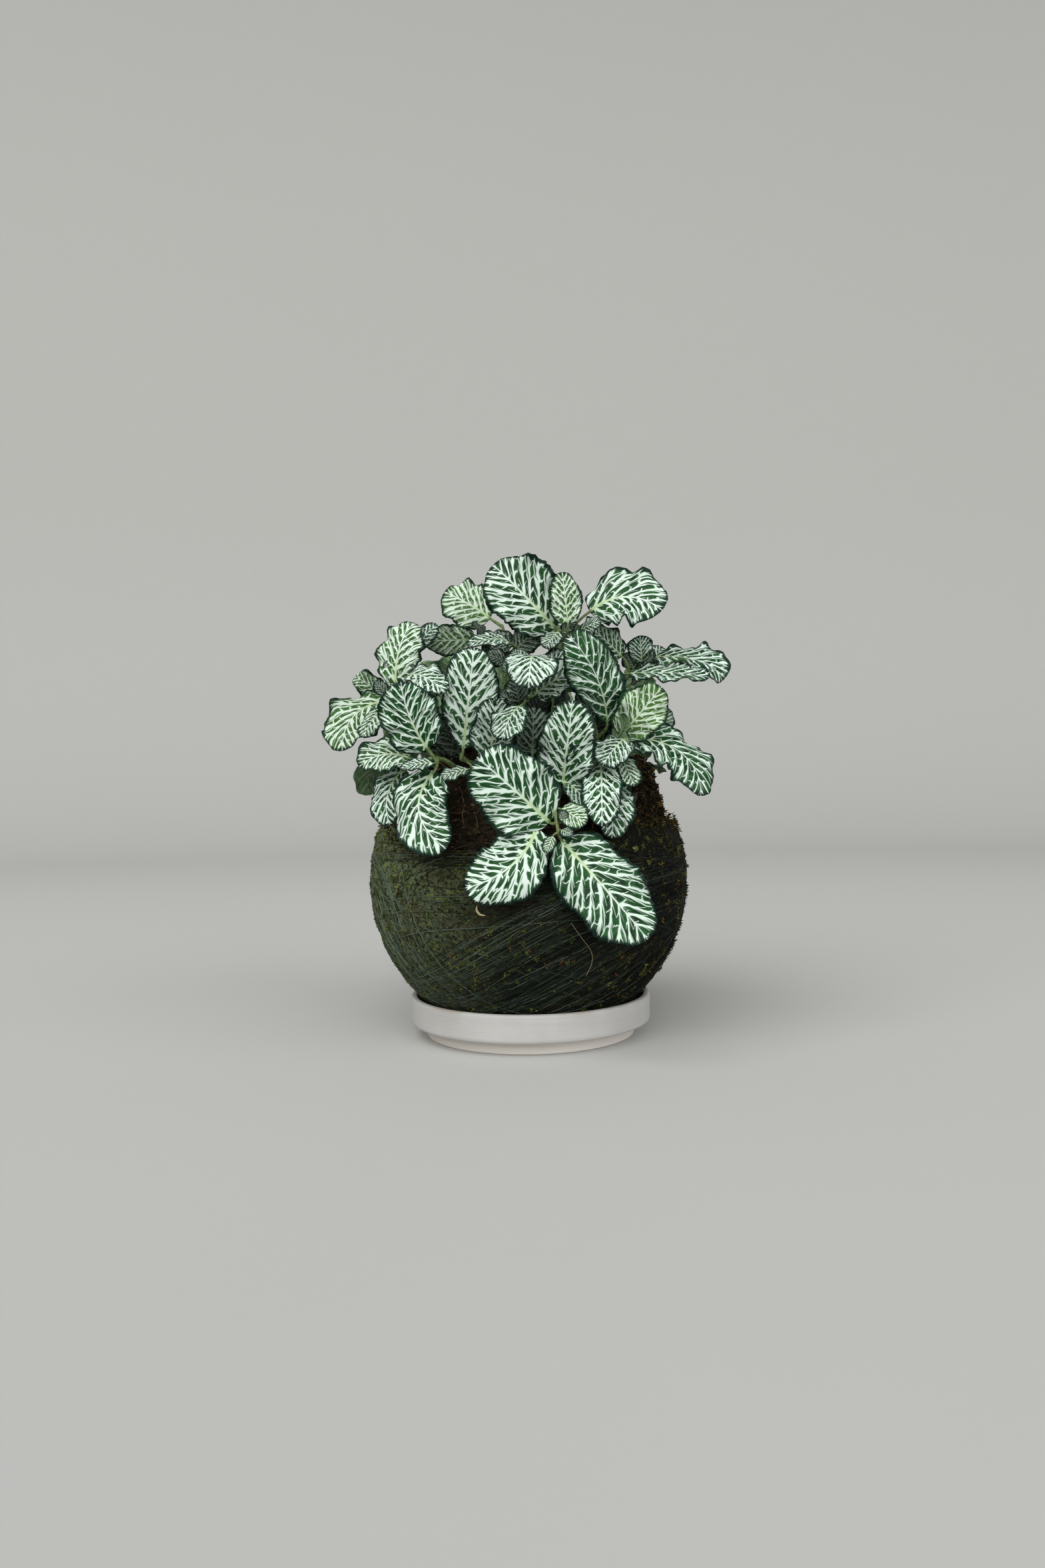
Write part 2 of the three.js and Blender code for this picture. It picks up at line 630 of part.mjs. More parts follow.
// A stem's list turned round the ball and resized about its middle.
function turnedShoot({ name, like, turn, size }) {
  const pattern = SHOOTS.find((shoot) => shoot.name === like);
  const axis = new THREE.Vector3(0, 0, 1);
  const moved = (point) => new THREE.Vector3(...point)
    .sub(BALL_CENTRE)
    .multiplyScalar(size)
    .add(BALL_CENTRE)
    .applyAxisAngle(axis, toRadians(turn))
    .toArray();
  const leaves = pattern.leaves.map(([foot, tip, face, width, ...bends]) => [
    moved(foot),
    moved(tip),
    new THREE.Vector3(...face).applyAxisAngle(axis, toRadians(turn)).toArray(),
    width * size,
    ...bends,
  ]);
  return { name, stem: pattern.stem.map(moved), leaves };
}

// Assembly

const plant = new THREE.Group();

function place(name, geometry, material) {
  const mesh = new THREE.Mesh(geometry, material.clone());
  mesh.name = name;
  plant.add(mesh);
}

const shoots = [...SHOOTS, ...BACK_SHOOTS.map(turnedShoot)];
let leafCount = 1;
let taken = null;
for (const shoot of shoots) {
  const whole = shootSolid(shoot, leafCount, 0);
  const solid = taken ? largestPiece(whole.subtract(taken)) : whole;
  place(shoot.name, geometryOf(solid), leafFinish);
  const roomy = shootSolid(shoot, leafCount, GAP);
  taken = taken ? taken.add(roomy) : roomy;
  leafCount += shoot.leaves.length;
}

place('saucer', saucerGeometry(), ceramicFinish);
place('moss_wrap', geometryOf(solidOf(wrapGeometry()).subtract(taken)), mossFinish);
place('soil_ball', geometryOf(solidOf(soilGeometry()).subtract(taken)), soilFinish);
place('binding_thread', geometryOf(threadSolid().subtract(taken)), threadFinish);

export default plant;
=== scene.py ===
# %% [markdown]
# Kokedama: a nerve plant grows from a ball of soil. The ball is wrapped in moss, wound with fine
# thread and stood in a small saucer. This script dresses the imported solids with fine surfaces.
# Shapes are worked out in millimetres with numpy and put into meshes in metres.

# %% Load the frame
import math
import bpy
import numpy as np
from mathutils import Matrix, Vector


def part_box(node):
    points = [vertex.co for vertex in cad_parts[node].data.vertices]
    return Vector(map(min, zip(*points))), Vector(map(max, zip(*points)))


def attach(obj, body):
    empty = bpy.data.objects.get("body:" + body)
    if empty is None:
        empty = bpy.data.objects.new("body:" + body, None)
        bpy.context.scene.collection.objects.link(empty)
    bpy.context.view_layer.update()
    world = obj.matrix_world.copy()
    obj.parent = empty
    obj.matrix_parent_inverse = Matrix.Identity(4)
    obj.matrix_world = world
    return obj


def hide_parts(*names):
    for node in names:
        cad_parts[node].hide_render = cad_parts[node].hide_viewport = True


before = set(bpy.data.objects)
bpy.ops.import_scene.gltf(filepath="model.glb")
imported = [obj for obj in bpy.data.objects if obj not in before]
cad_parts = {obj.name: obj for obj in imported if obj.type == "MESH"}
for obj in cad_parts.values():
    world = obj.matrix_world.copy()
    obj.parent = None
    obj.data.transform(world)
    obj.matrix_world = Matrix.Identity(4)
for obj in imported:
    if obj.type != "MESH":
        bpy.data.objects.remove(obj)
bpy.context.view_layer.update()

# %% [markdown]
# The sizes come first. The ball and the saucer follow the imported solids, so they are read from the
# frame's boxes where a box gives them, and the rest are the same driving dimensions in millimetres.

# %% Driving dimensions in millimetres
MM = 0.001
saucer_high = np.array(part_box("saucer")[1]) / MM
SAUCER_RADIUS = saucer_high[0]
SAUCER_HEIGHT = saucer_high[2]
SAUCER_FLOOR = 4.0
SAUCER_WALL = 2.7
FOOT_RADIUS = 42.9
FOOT_HEIGHT = 5.2
BALL_RADIUS = 65.0
BALL_CENTRE = np.array([0.0, 0.0, 64.0])
WRAP_THICKNESS = 3.1
RIM_ANGLE = 69.0
SOIL_RADIUS = 60.5
SHOULDER_SWELL = 7.0
SOIL_TOP = 118.0
BLADE_THICKNESS = 0.4
BLADE_CLEAR_RADIUS = 67.7
STEM_RADIUS = 1.3
PETIOLE_RADIUS = 0.75
print("saucer", round(2 * SAUCER_RADIUS, 1), "mm wide and", round(SAUCER_HEIGHT, 1), "mm high")

# %% [markdown]
# The camera stands about half a metre in front of the plant, a little over the middle of it, and looks
# very slightly down. Its place and its lens were found from the saucer's ellipses and the ball's outline
# in the photograph. Its three axes are written as a matrix, because the picture leans by one degree.

# %% Camera
PHOTO_HEIGHT = 2352
FOCAL_PIXELS = 1930
SENSOR_SIZE = 36
CAMERA_PLACE = (-1.8, -533.7, 119.0)
CAMERA_PITCH = math.radians(1.72)
CAMERA_ROLL = math.radians(0.95)


def stand(thing, side, up, back, place):
    """Puts a camera or a lamp into the scene at a place in millimetres, with its three axes given."""
    bpy.context.scene.collection.objects.link(thing)
    turn = np.eye(4)
    turn[:3, 0], turn[:3, 1], turn[:3, 2], turn[:3, 3] = side, up, back, np.array(place) * MM
    thing.matrix_world = Matrix(turn.tolist())


forward = np.array([0, math.cos(CAMERA_PITCH), -math.sin(CAMERA_PITCH)])
level_up = np.array([0, math.sin(CAMERA_PITCH), math.cos(CAMERA_PITCH)])
level_right = np.array([1.0, 0, 0])
right = level_right * math.cos(CAMERA_ROLL) - level_up * math.sin(CAMERA_ROLL)
up = level_right * math.sin(CAMERA_ROLL) + level_up * math.cos(CAMERA_ROLL)

camera_data = bpy.data.cameras.new("camera")
camera_data.sensor_width = SENSOR_SIZE
camera_data.lens = SENSOR_SIZE * FOCAL_PIXELS / PHOTO_HEIGHT
camera_data.clip_start = 0.02
camera = bpy.data.objects.new("camera", camera_data)
stand(camera, right, up, -forward, CAMERA_PLACE)
bpy.context.scene.camera = camera
print("lens", round(camera_data.lens, 2), "mm")

# %% [markdown]
# A material is a small graph of nodes. To keep its sums readable, a socket is wrapped in a class that
# knows plus, minus, times and divide, so a line of Python becomes the Math nodes for it. All other
# nodes come from one method, `put`, that takes the node's type, its settings and its inputs.

# %% Shader sums as Python
class Term:
    """A number socket that can be used in sums. Each operator adds one Math node."""

    def __init__(self, maker, socket):
        self.maker = maker
        self.socket = socket

    def sum_with(self, operation, *others):
        places = {place: other for place, other in enumerate((self, *others))}
        return self.maker.put("ShaderNodeMath", {"operation": operation}, places)

    def __add__(self, other):
        return self.sum_with("ADD", other)

    def __sub__(self, other):
        return self.sum_with("SUBTRACT", other)

    def __mul__(self, other):
        return self.sum_with("MULTIPLY", other)

    def __truediv__(self, other):
        return self.sum_with("DIVIDE", other)

    def __pow__(self, other):
        return self.sum_with("POWER", other)

    def __rsub__(self, other):
        return self.maker.number("SUBTRACT", other, self)

    __radd__ = __add__
    __rmul__ = __mul__

    def __abs__(self):
        return self.sum_with("ABSOLUTE")

    def melted(self, other, reach):
        """The larger of the two, rounded where they come within `reach` of each other."""
        return self.sum_with("SMOOTH_MAX", other, reach)

    def ramp(self, low, high):
        """0 below low, 1 above high and a smooth step between them."""
        return self.maker.put(
            "ShaderNodeMapRange",
            {"interpolation_type": "SMOOTHSTEP"},
            {"Value": self, "From Min": low, "From Max": high},
        )


class Maker:
    """A material in the making."""

    def __init__(self, name):
        self.material = bpy.data.materials.new(name)
        self.material.use_nodes = True
        self.tree = self.material.node_tree
        self.tree.nodes.clear()

    def put(self, kind, settings=None, inputs=None, output=0):
        """Adds a node, sets it, feeds its inputs by name or number and gives one output."""
        node = self.tree.nodes.new(kind)
        for setting, value in (settings or {}).items():
            setattr(node, setting, value)
        for place, value in (inputs or {}).items():
            if isinstance(value, Term):
                self.tree.links.new(value.socket, node.inputs[place])
            else:
                node.inputs[place].default_value = value
        return None if output is None else Term(self, node.outputs[output])

    def number(self, operation, *values):
        return self.put("ShaderNodeMath", {"operation": operation}, dict(enumerate(values)))

    def attribute(self, name):
        """The three numbers of a point attribute."""
        vector = self.put("ShaderNodeAttribute", {"attribute_name": name}, output="Vector")
        return [self.put("ShaderNodeSeparateXYZ", {}, {0: vector}, axis) for axis in "XYZ"]

    def place(self):
        return self.put("ShaderNodeTexCoord", output="Object")

    def along(self, axis):
        """How far each place lies along one axis, in metres."""
        return self.put("ShaderNodeSeparateXYZ", {}, {0: self.place()}, axis)

    def vector(self, x, y, z):
        return self.put("ShaderNodeCombineXYZ", {}, {0: x, 1: y, 2: z})

    def stretched(self, vector, factors):
        return self.put("ShaderNodeVectorMath", {"operation": "MULTIPLY"}, {0: vector, 1: factors})

    def noise(self, vector, scale, detail=2.0, rough=0.5):
        inputs = {"Vector": vector, "Scale": scale, "Detail": detail, "Roughness": rough}
        return self.put("ShaderNodeTexNoise", {}, inputs, "Fac")

    def chance(self, row, seat):
        """A random number from 0 to 1 for each pair of whole rows and seats."""
        inputs = {"Vector": self.vector(row, seat, 0.0)}
        return self.put("ShaderNodeTexWhiteNoise", {"noise_dimensions": "2D"}, inputs)

    def blend(self, share, first, second):
        """The first colour where share is 0, the second where it is 1."""
        return self.put("ShaderNodeMix", {"data_type": "RGBA"}, {0: share, 6: first, 7: second}, 2)

    def finish(self, colour, roughness, height=None, depth=0.0, **constants):
        """Ends in one Principled shader, with a bump of the given depth in millimetres."""
        inputs = {"Base Color": colour, "Roughness": roughness, **constants}
        if height is not None:
            bump = {"Height": height, "Distance": depth * MM, "Strength": 1.0}
            inputs["Normal"] = self.put("ShaderNodeBump", {}, bump, "Normal")
        shader = self.put("ShaderNodeBsdfPrincipled", {}, inputs, "BSDF")
        self.put("ShaderNodeOutputMaterial", {}, {"Surface": shader}, None)
        return self.material


MATT = {"Specular IOR Level": 0.12}


def tone(red, green, blue):
    """A colour as seen on a screen, 0 to 255, made linear for a shader."""
    seen = np.array([red, green, blue]) / 255
    light = np.where(seen <= 0.04045, seen / 12.92, ((seen + 0.055) / 1.055) ** 2.4)
    return (*light.tolist(), 1.0)


# %% [markdown]
# Every piece becomes a mesh in one way: points in millimetres, faces by number, and a few attributes
# that its material reads. The object itself stays at the origin.

# %% From arrays to a piece
def add_piece(name, points, faces, materials, attributes=None, kinds=None, smooth=True):
    """Makes a mesh object. Points are in millimetres, faces is a list of arrays of corner numbers, kinds
    gives each face's material, and attributes maps a name to three numbers for each point."""
    mesh = bpy.data.meshes.new(name)
    corners = [row for block in faces for row in np.asarray(block).tolist()]
    mesh.from_pydata((np.asarray(points) * MM).tolist(), [], corners)
    for material in materials:
        mesh.materials.append(material)
    if kinds is not None:
        mesh.polygons.foreach_set("material_index", np.asarray(kinds, np.int32))
    for title, values in (attributes or {}).items():
        layer = mesh.attributes.new(title, "FLOAT_VECTOR", "POINT")
        layer.data.foreach_set("vector", np.asarray(values, np.float32).ravel())
    mesh.polygons.foreach_set("use_smooth", np.full(len(mesh.polygons), smooth))
    mesh.update()
    piece = bpy.data.objects.new(name, mesh)
    bpy.context.scene.collection.objects.link(piece)
    print(f"{name}: {sum(len(face) - 2 for face in corners)} triangles")
    return piece


def belongs(piece, slot, *nodes):
    """The piece rides on the part and stands for the nodes. The slot is not used."""
    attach(piece, "root")
    if nodes:
        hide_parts(*nodes)


def grid_faces(rows, columns, first=0, around=False):
    """Quads over a grid of points, row by row. With around, the last column joins the first."""
    row, column = np.meshgrid(np.arange(rows - 1), np.arange(columns - (not around)), indexing="ij")
    here = (row * columns + column).ravel() + first
    beside = (row * columns + (column + 1) % columns).ravel() + first
    return np.stack([here, beside, beside + columns, here + columns], -1)


def capped_rings(rings, low, high):
    """Points and faces of a closed skin over a stack of rings, with a middle point at either end."""
    rows, columns = rings.shape[:2]
    here = np.arange(columns)
    beside = (here + 1) % columns
    last = (rows - 1) * columns
    hub = np.full(columns, rows * columns)
    under = np.stack([beside, here, hub], -1)
    over = np.stack([last + here, last + beside, hub + 1], -1)
    points = np.concatenate([rings.reshape(-1, 3), [low, high]])
    return points, [grid_faces(rows, columns, around=True), under, over]


def unit(vectors):
    return vectors / np.linalg.norm(vectors, axis=-1, keepdims=True)


def lumps(points, size, seed, waves=28):
    """Smooth bumps from about -1 to 1: a sum of sine waves that run in seeded directions through the
    points, each about `size` millimetres long."""
    draw = np.random.default_rng(seed)
    ways = unit(draw.normal(size=(waves, 3))) * (2 * np.pi / size) * draw.uniform(0.6, 1.5, (waves, 1))
    starts = draw.uniform(0, 2 * np.pi, waves)
    return np.sin(points @ ways.T + starts).sum(-1) * math.sqrt(2 / waves) / 1.6


# %% [markdown]
# The stage is a pale floor that curves up into a pale round wall. A large soft light from the upper
# left, a weaker one from the right and a dim even sky light it. It isn't part of the object.

# %% Stage and light
STAGE_RADIUS = 2500
STAGE_BEND = 500
STAGE_HEIGHT = 3500
STAGE_MIDDLE = -1100
SKY_COLOUR = (0.93, 0.97, 1.0, 1)
SKY_STRENGTH = 0.14


def stage_material():
    """Pale paint. The floor is lighter further back, where less light falls."""
    make = Maker("pale_paint")
    place = make.place()
    paint = make.blend(make.along("Y").ramp(-0.6, 0.6), tone(164, 164, 162), tone(206, 206, 203))
    paint = make.blend(make.along("Z").ramp(0.0, 0.5), paint, tone(201, 201, 197))
    return make.finish(make.blend(make.noise(place, 3.0, 4.0) * 0.15, paint, tone(208, 208, 204)), 0.9)


def add_stage():
    """A round floor that turns up along a quarter circle into a wall."""
    bend = np.linspace(0, math.pi / 2, 17)
    flat = STAGE_RADIUS - STAGE_BEND
    reach = np.concatenate([[0, 700, 1400], flat + STAGE_BEND * np.sin(bend), [STAGE_RADIUS]])[:, None]
    height = np.concatenate([[0, 0, 0], STAGE_BEND - STAGE_BEND * np.cos(bend), [STAGE_HEIGHT]])[:, None]
    columns = 120
    angle = np.linspace(-np.pi, np.pi, columns, endpoint=False)[None]
    across, back = reach * np.sin(angle), reach * np.cos(angle) + STAGE_MIDDLE
    points = np.stack([across, back, height + 0 * angle], -1)
    faces = grid_faces(len(reach), columns, around=True)
    backdrop = add_piece("backdrop", points.reshape(-1, 3), [faces[:, ::-1]], [stage_material()])


def add_light(name, place, target, width, power, colour):
    """A square soft light at a place in millimetres, facing a target."""
    light = bpy.data.lights.new(name, "AREA")
    light.size = width * MM
    light.energy = power
    light.color = colour
    back = unit(np.array(place, float) - np.array(target, float))
    side = unit(np.cross([0, 0, 1], back))
    stand(bpy.data.objects.new(name, light), side, np.cross(back, side), back, place)


add_stage()
add_light("window", (-600, -1200, 1300), (0, 0, 110), width=1900, power=40, colour=(1.0, 1.0, 0.995))
add_light("bounce", (900, -900, 600), (0, 0, 30), width=1300, power=11, colour=(0.98, 0.99, 1.0))
world = bpy.data.worlds.new("sky")
world.use_nodes = True
world.node_tree.nodes["Background"].inputs["Color"].default_value = SKY_COLOUR
world.node_tree.nodes["Background"].inputs["Strength"].default_value = SKY_STRENGTH
bpy.context.scene.world = world
bpy.context.scene.view_settings.view_transform = "Standard"
print("stage and two soft lights")

# %% [markdown]
# The saucer is thrown clay with a matt off-white face: a straight band with softened lips over a
# narrower foot. A potter's wheel turns one outline, and so does this: the outline's corners are
# rounded with small arcs and the whole is carried round the axis.

# %% Saucer
def rounded(outline, steps=5):
    """The outline with each inner corner (radius, height, rounding) replaced by a smooth quadratic
    curve that starts and ends the rounding's length away from the corner."""
    made = [outline[0][:2]]
    for before, corner, after in zip(outline, outline[1:], outline[2:]):
        here = np.array(corner[:2], float)
        start = here + unit(np.array(before[:2]) - here) * corner[2]
        end = here + unit(np.array(after[:2]) - here) * corner[2]
        share = np.linspace(0, 1, steps)[:, None]
        made += (start * (1 - share) ** 2 + 2 * here * share * (1 - share) + end * share ** 2).tolist()
    return np.array(made + [outline[-1][:2]])


def saucer_material():
    make = Maker("matt_ceramic")
    place = make.place()
    wheel = make.noise(make.stretched(place, (25, 25, 900)), 1.0, 3.0)
    clouds = make.noise(place, 45.0, 4.0)
    grain = make.noise(place, 1500.0, 2.0)
    height = make.along("Z")
    lip = height.ramp((SAUCER_HEIGHT - 1.6) * MM, SAUCER_HEIGHT * MM)
    worn = lip * clouds.ramp(0.45, 0.7) * 0.5
    clay = make.blend(clouds.ramp(0.3, 0.75), tone(183, 182, 179), tone(172, 170, 167))
    clay = make.blend(wheel.ramp(0.35, 0.8) * 0.35, clay, tone(191, 190, 187))
    clay = make.blend(worn, clay, tone(150, 132, 112))
    specks = grain.ramp(0.68, 0.74) * 0.35
    clay = make.blend(specks, clay, tone(160, 150, 140))
    relief = wheel * 0.6 + grain * 0.4
    # Painted light: the foot below the band is painted lighter, to lift the shade it lies in.
    clay = make.blend((1.0 - height.ramp(0.0045, 0.0062)) * 0.8, clay, tone(226, 220, 212))
    return make.finish(clay, 0.62 + 0.15 * clouds, relief, 0.12)


def add_saucer():
    inside = SAUCER_RADIUS - SAUCER_WALL
    outline = [
        (0.0, 0.0, 0),
        (FOOT_RADIUS, 0.0, 0.7),
        (FOOT_RADIUS, FOOT_HEIGHT + 0.2, 0.5),
        (SAUCER_RADIUS, FOOT_HEIGHT + 0.2, 1.5),
        (SAUCER_RADIUS, SAUCER_HEIGHT, 1.2),
        (inside, SAUCER_HEIGHT, 1.0),
        (inside - 0.8, SAUCER_FLOOR, 2.4),
        (0.0, SAUCER_FLOOR, 0),
    ]
    profile = rounded(outline)
    legs = np.linalg.norm(np.diff(profile, axis=0), axis=1)
    along = np.concatenate([[0], np.cumsum(legs)])
    even = np.unique(np.concatenate([along, np.arange(0, along[-1], 1.6)]))
    radius, height = (np.interp(even, along, profile[:, axis]) for axis in (0, 1))
    radius, height = radius[1:-1], height[1:-1]
    angle = np.linspace(0, 2 * np.pi, 160, endpoint=False)
    wobble = 1 + 0.0012 * np.sin(2 * angle + 0.7)
    points = np.stack([
        radius[:, None] * wobble * np.cos(angle),
        radius[:, None] * wobble * np.sin(angle),
        height[:, None] + 0 * angle,
    ], -1)
    points, faces = capped_rings(points, [0, 0, 0], [0, 0, SAUCER_FLOOR])
    piece = add_piece("saucer_clay", points, faces, [saucer_material()])
    belongs(piece, "ceramic", "saucer")


add_saucer()

# %% [markdown]
# The ball's skin is moss that the thread has pulled tight. Its surface is a sphere with seeded lumps.
# One function gives the skin's radius in any direction, so that the thread and the moss tufts can be
# laid on it exactly.

# %% The ball's skin
def rim_angle(azimuth):
    """How far down from the top the wrap's ragged rim lies, in radians. It dips at the front left."""
    dip = 7 * np.exp(-((np.cos(azimuth + math.radians(108)) - 1) ** 2) / 0.06)
    return np.radians(RIM_ANGLE + 1.6 * np.sin(3 * azimuth + 1) + 1.1 * np.sin(7 * azimuth) + dip)


def skin_radius(out):
    """The skin's distance from the ball's centre along unit directions."""
    points = out * BALL_RADIUS
    return BALL_RADIUS + 0.22 * lumps(points, 9.0, 3) + 0.16 * lumps(points, 3.2, 4)


def directions(polar, azimuth):
    """Unit vectors from the angle down from the top and the angle round."""
    return np.stack([
        np.sin(polar) * np.cos(azimuth),
        np.sin(polar) * np.sin(azimuth),
        np.cos(polar) + 0 * azimuth,
    ], -1)


def painted_side_shade(make):
    """Painted shade across the ball: light at the left, where the light falls, painted darker towards the
    right and darkest at the right, the shaded side.
    """
    return make.along("X").ramp(-0.060, 0.0), make.along("X").ramp(0.005, 0.05)


def skin_material():
    """Dark moss with fine fibres and painted shade: lighter at the left, painted dark at the right. Threads
    too fine to model are fine noise in the colour and the bump.
    """
    make = Maker("bound_moss")
    place = make.place()
    shaded_side, deepest_shade = painted_side_shade(make)
    broad = make.noise(place, 60.0, 3.0)
    fine = make.noise(place, 700.0, 3.0, 0.7)
    speck = make.noise(place, 420.0, 2.0, 0.6)
    # Painted light and shade: a lighter colour for the lit left, a darker one for the shaded right.
    lit_side_colour = make.blend(fine.ramp(0.36, 0.64), tone(18, 23, 13), tone(100, 110, 76))
    shaded_side_colour = make.blend(fine.ramp(0.3, 0.7), tone(6, 8, 4), tone(30, 34, 18))
    base = make.blend(shaded_side, lit_side_colour, shaded_side_colour)
    # Painted shade: the right side is painted darkest.
    base = make.blend(deepest_shade * 0.85, base, tone(3, 4, 2))
    base = make.blend(broad.ramp(0.5, 0.7) * 0.45 * (1.0 - 0.6 * shaded_side), base, tone(66, 50, 34))
    leafy = speck.ramp(0.56, 0.66) * (1.0 - broad.ramp(0.45, 0.62))
    base = make.blend(leafy * (0.8 - 0.5 * shaded_side), base, tone(104, 112, 50))
    height = fine * 0.6 + speck * 0.4
    return make.finish(base, 0.85, height, 0.5, **MATT)


def add_skin():
    """The wrap: outer face from below to the rim, over the rim, and down inside."""
    columns = 224
    azimuth = np.linspace(0, 2 * np.pi, columns, endpoint=False)[None]
    base_height = SAUCER_FLOOR + 0.3
    flat = math.acos((base_height - BALL_CENTRE[2]) / BALL_RADIUS)
    rim = rim_angle(azimuth) + 0.012 * np.sin(17 * azimuth) + 0.01 * np.sin(41 * azimuth + 1)
    share = np.linspace(0, 1, 110)[:, None]
    outer = directions(math.pi - 0.01 + (rim - math.pi + 0.01) * share, azimuth)
    radius = skin_radius(outer)
    over = np.exp(-(((1 - share) / 0.03) ** 2))
    points = outer * (radius - 0.9 * over)[..., None] + BALL_CENTRE
    points[..., 2] = np.maximum(points[..., 2], base_height)
    drop = np.linspace(0, 1, 12)[:, None]
    inner = directions(rim - 0.012 + 0.25 * drop, azimuth)
    inner = inner * (BALL_RADIUS - WRAP_THICKNESS + 1.2 * (1 - drop) ** 2)[..., None] + BALL_CENTRE
    middle = inner.reshape(-1, 3).mean(0)
    points, faces = capped_rings(np.concatenate([points, inner]), [0, 0, base_height], middle)
    piece = add_piece("moss_skin", points, faces, [skin_material()])
    belongs(piece, "moss", "moss_wrap")


add_skin()

# %% [markdown]
# The thread is thin cotton, wound hundreds of times round the ball in all directions, but never over
# the open top. One winding is a tilted circle whose angle down from the top is squeezed into the
# band that the thread covers. Hair curves would be lighter, but an export drops them, so a winding is a
# thin tube with three sides. All of them are worked out at once as one array of points.

# %% Thread
THREAD_RADIUS = 0.17


def winding_directions(tilt, node, shift, steps, top):
    """Unit directions along tilted circles, one row each, squeezed to lie below the rim. With a
    `shift` in radians, the circle lies that far to one side of the ball's middle."""
    turn = np.linspace(0, 2 * np.pi, steps, endpoint=False)[None]
    turn = turn + 0.35 * np.sin(2 * turn) * np.sin(tilt) ** 2
    up = np.sin(turn) * np.sin(tilt) * np.cos(shift) + np.cos(tilt) * np.sin(shift)
    level = np.sin(turn) * np.cos(tilt) * np.cos(shift) - np.sin(tilt) * np.sin(shift)
    azimuth = node + np.arctan2(level, np.cos(turn) * np.cos(shift))
    low = math.radians(153)
    polar = top + (low - top) * np.arccos(np.clip(up, -1, 1)) / np.pi
    return directions(polar, azimuth)


def ring_tubes(paths, ups, radius, sides=3):
    """Closed tubes round closed paths, shaped (tubes, steps, 3)."""
    ahead = unit(np.roll(paths, -1, 1) - np.roll(paths, 1, 1))
    across = unit(np.cross(ahead, ups))
    lift = np.cross(across, ahead)
    angle = np.linspace(0, 2 * np.pi, sides, endpoint=False) + np.pi / 2
    ring = across[:, :, None] * np.cos(angle)[:, None] + lift[:, :, None] * np.sin(angle)[:, None]
    points = paths[:, :, None] + ring * radius
    tubes, steps = paths.shape[:2]
    tube, step, side = np.meshgrid(*(np.arange(n) for n in (tubes, steps, sides)), indexing="ij")

    def corner(step, side):
        return ((tube * steps + step % steps) * sides + side % sides).ravel()

    near = corner(step, side), corner(step, side + 1)
    far = corner(step + 1, side + 1), corner(step + 1, side)
    return points.reshape(-1, 3), np.stack([*near, *far], -1)


def thread_material():
    make = Maker("green_thread")
    fade, painted_glint, age = make.attribute("thread")
    place = make.place()
    shaded_side, deepest_shade = painted_side_shade(make)
    worn = make.noise(place, 90.0, 3.0)
    # Painted light and shade: the thread is lighter on the lit left and darker on the shaded right.
    lit_side_colour = make.blend(fade ** 1.5, tone(34, 42, 32), tone(106, 120, 98))
    lit_side_colour = make.blend(worn.ramp(0.5, 0.75) * 0.4, lit_side_colour, tone(84, 86, 60))
    shaded_side_colour = make.blend(fade ** 2.5, tone(7, 10, 7), tone(58, 70, 58))
    colour = make.blend(shaded_side, lit_side_colour, shaded_side_colour)
    # Painted shade: the thread is darkest at the right.
    colour = make.blend(deepest_shade * 0.8, colour, tone(3, 4, 3))
    # Painted highlight: some windings are painted brighter as glints, less on the shaded right.
    colour = make.blend(painted_glint * (1.0 - 0.4 * shaded_side - 0.35 * deepest_shade), colour, tone(112, 126, 112))
    return make.finish(colour, 0.55 + 0.2 * age, **MATT)


def add_thread(name, seed, count, tilts, nodes, shifts, steps, replaced=()):
    """Windings whose tilt is drawn between the given degrees, the place where they climb round a mean
    azimuth, and their distance from the ball's middle up to `shifts` radians."""
    draw = np.random.default_rng(seed)
    tilt = np.radians(draw.uniform(*tilts, (count, 1)))
    node = np.radians(draw.normal(*nodes, (count, 1)))
    top = np.radians(draw.uniform(RIM_ANGLE + 3, RIM_ANGLE + 10, (count, 1)))
    shift = draw.uniform(-shifts, shifts, (count, 1))
    out = winding_directions(tilt, node, shift, steps, top)
    turn = np.linspace(0, 2 * np.pi, steps, endpoint=False)
    wander = 0.012 * np.sin(turn * draw.integers(2, 5, (count, 1)))
    out = unit(out + wander[..., None] * np.array([0, 0, 1]))
    paths = out * (skin_radius(out) + draw.uniform(0.0, 0.22, (count, 1)))[..., None] + BALL_CENTRE
    points, faces = ring_tubes(paths, out, THREAD_RADIUS)
    # Each winding's looks: how light it is, a painted highlight that brightens about one in seven, and how
    # rough it is.
    looks = np.stack([
        draw.uniform(0, 1, count),
        (draw.uniform(0, 1, count) > 0.86) * draw.uniform(0.3, 0.9, count),
        draw.uniform(0, 1, count),
    ], -1)
    looks = np.repeat(looks, steps * 3, axis=0)
    piece = add_piece(name, points, [faces], [thread_material()], {"thread": looks})
    belongs(piece, "thread", *replaced)


add_thread("thread_climbing", 11, 200, (47, 55), (-92, 12), 0.55, 100, ["binding_thread"])
add_thread("thread_upright", 12, 150, (66, 88), (8, 24), 0.25, 100)
add_thread("thread_crossing", 13, 22, (34, 62), (110, 50), 0.3, 100)

# %% [markdown]
# Yellow-green tufts of moss and brown scraps push out between the threads. There are thousands, so
# one is only a squashed octahedron, in one mesh with all the others, because particles would be lost in
# an export. Most stand in clumps of one colour. A seeded draw scatters them, thicker at the left and
# low down, and each carries its colour as an attribute.

# %% Tufts and scraps
CLUMPS = 760
CLUMP_TUFTS = 20
SINGLE_TUFTS = 2400
SHAGGY_CLUMPS = 170
SHAGGY_TUFTS = 11
RIM_TUFTS = 1500
TUFT_CORNERS = 6


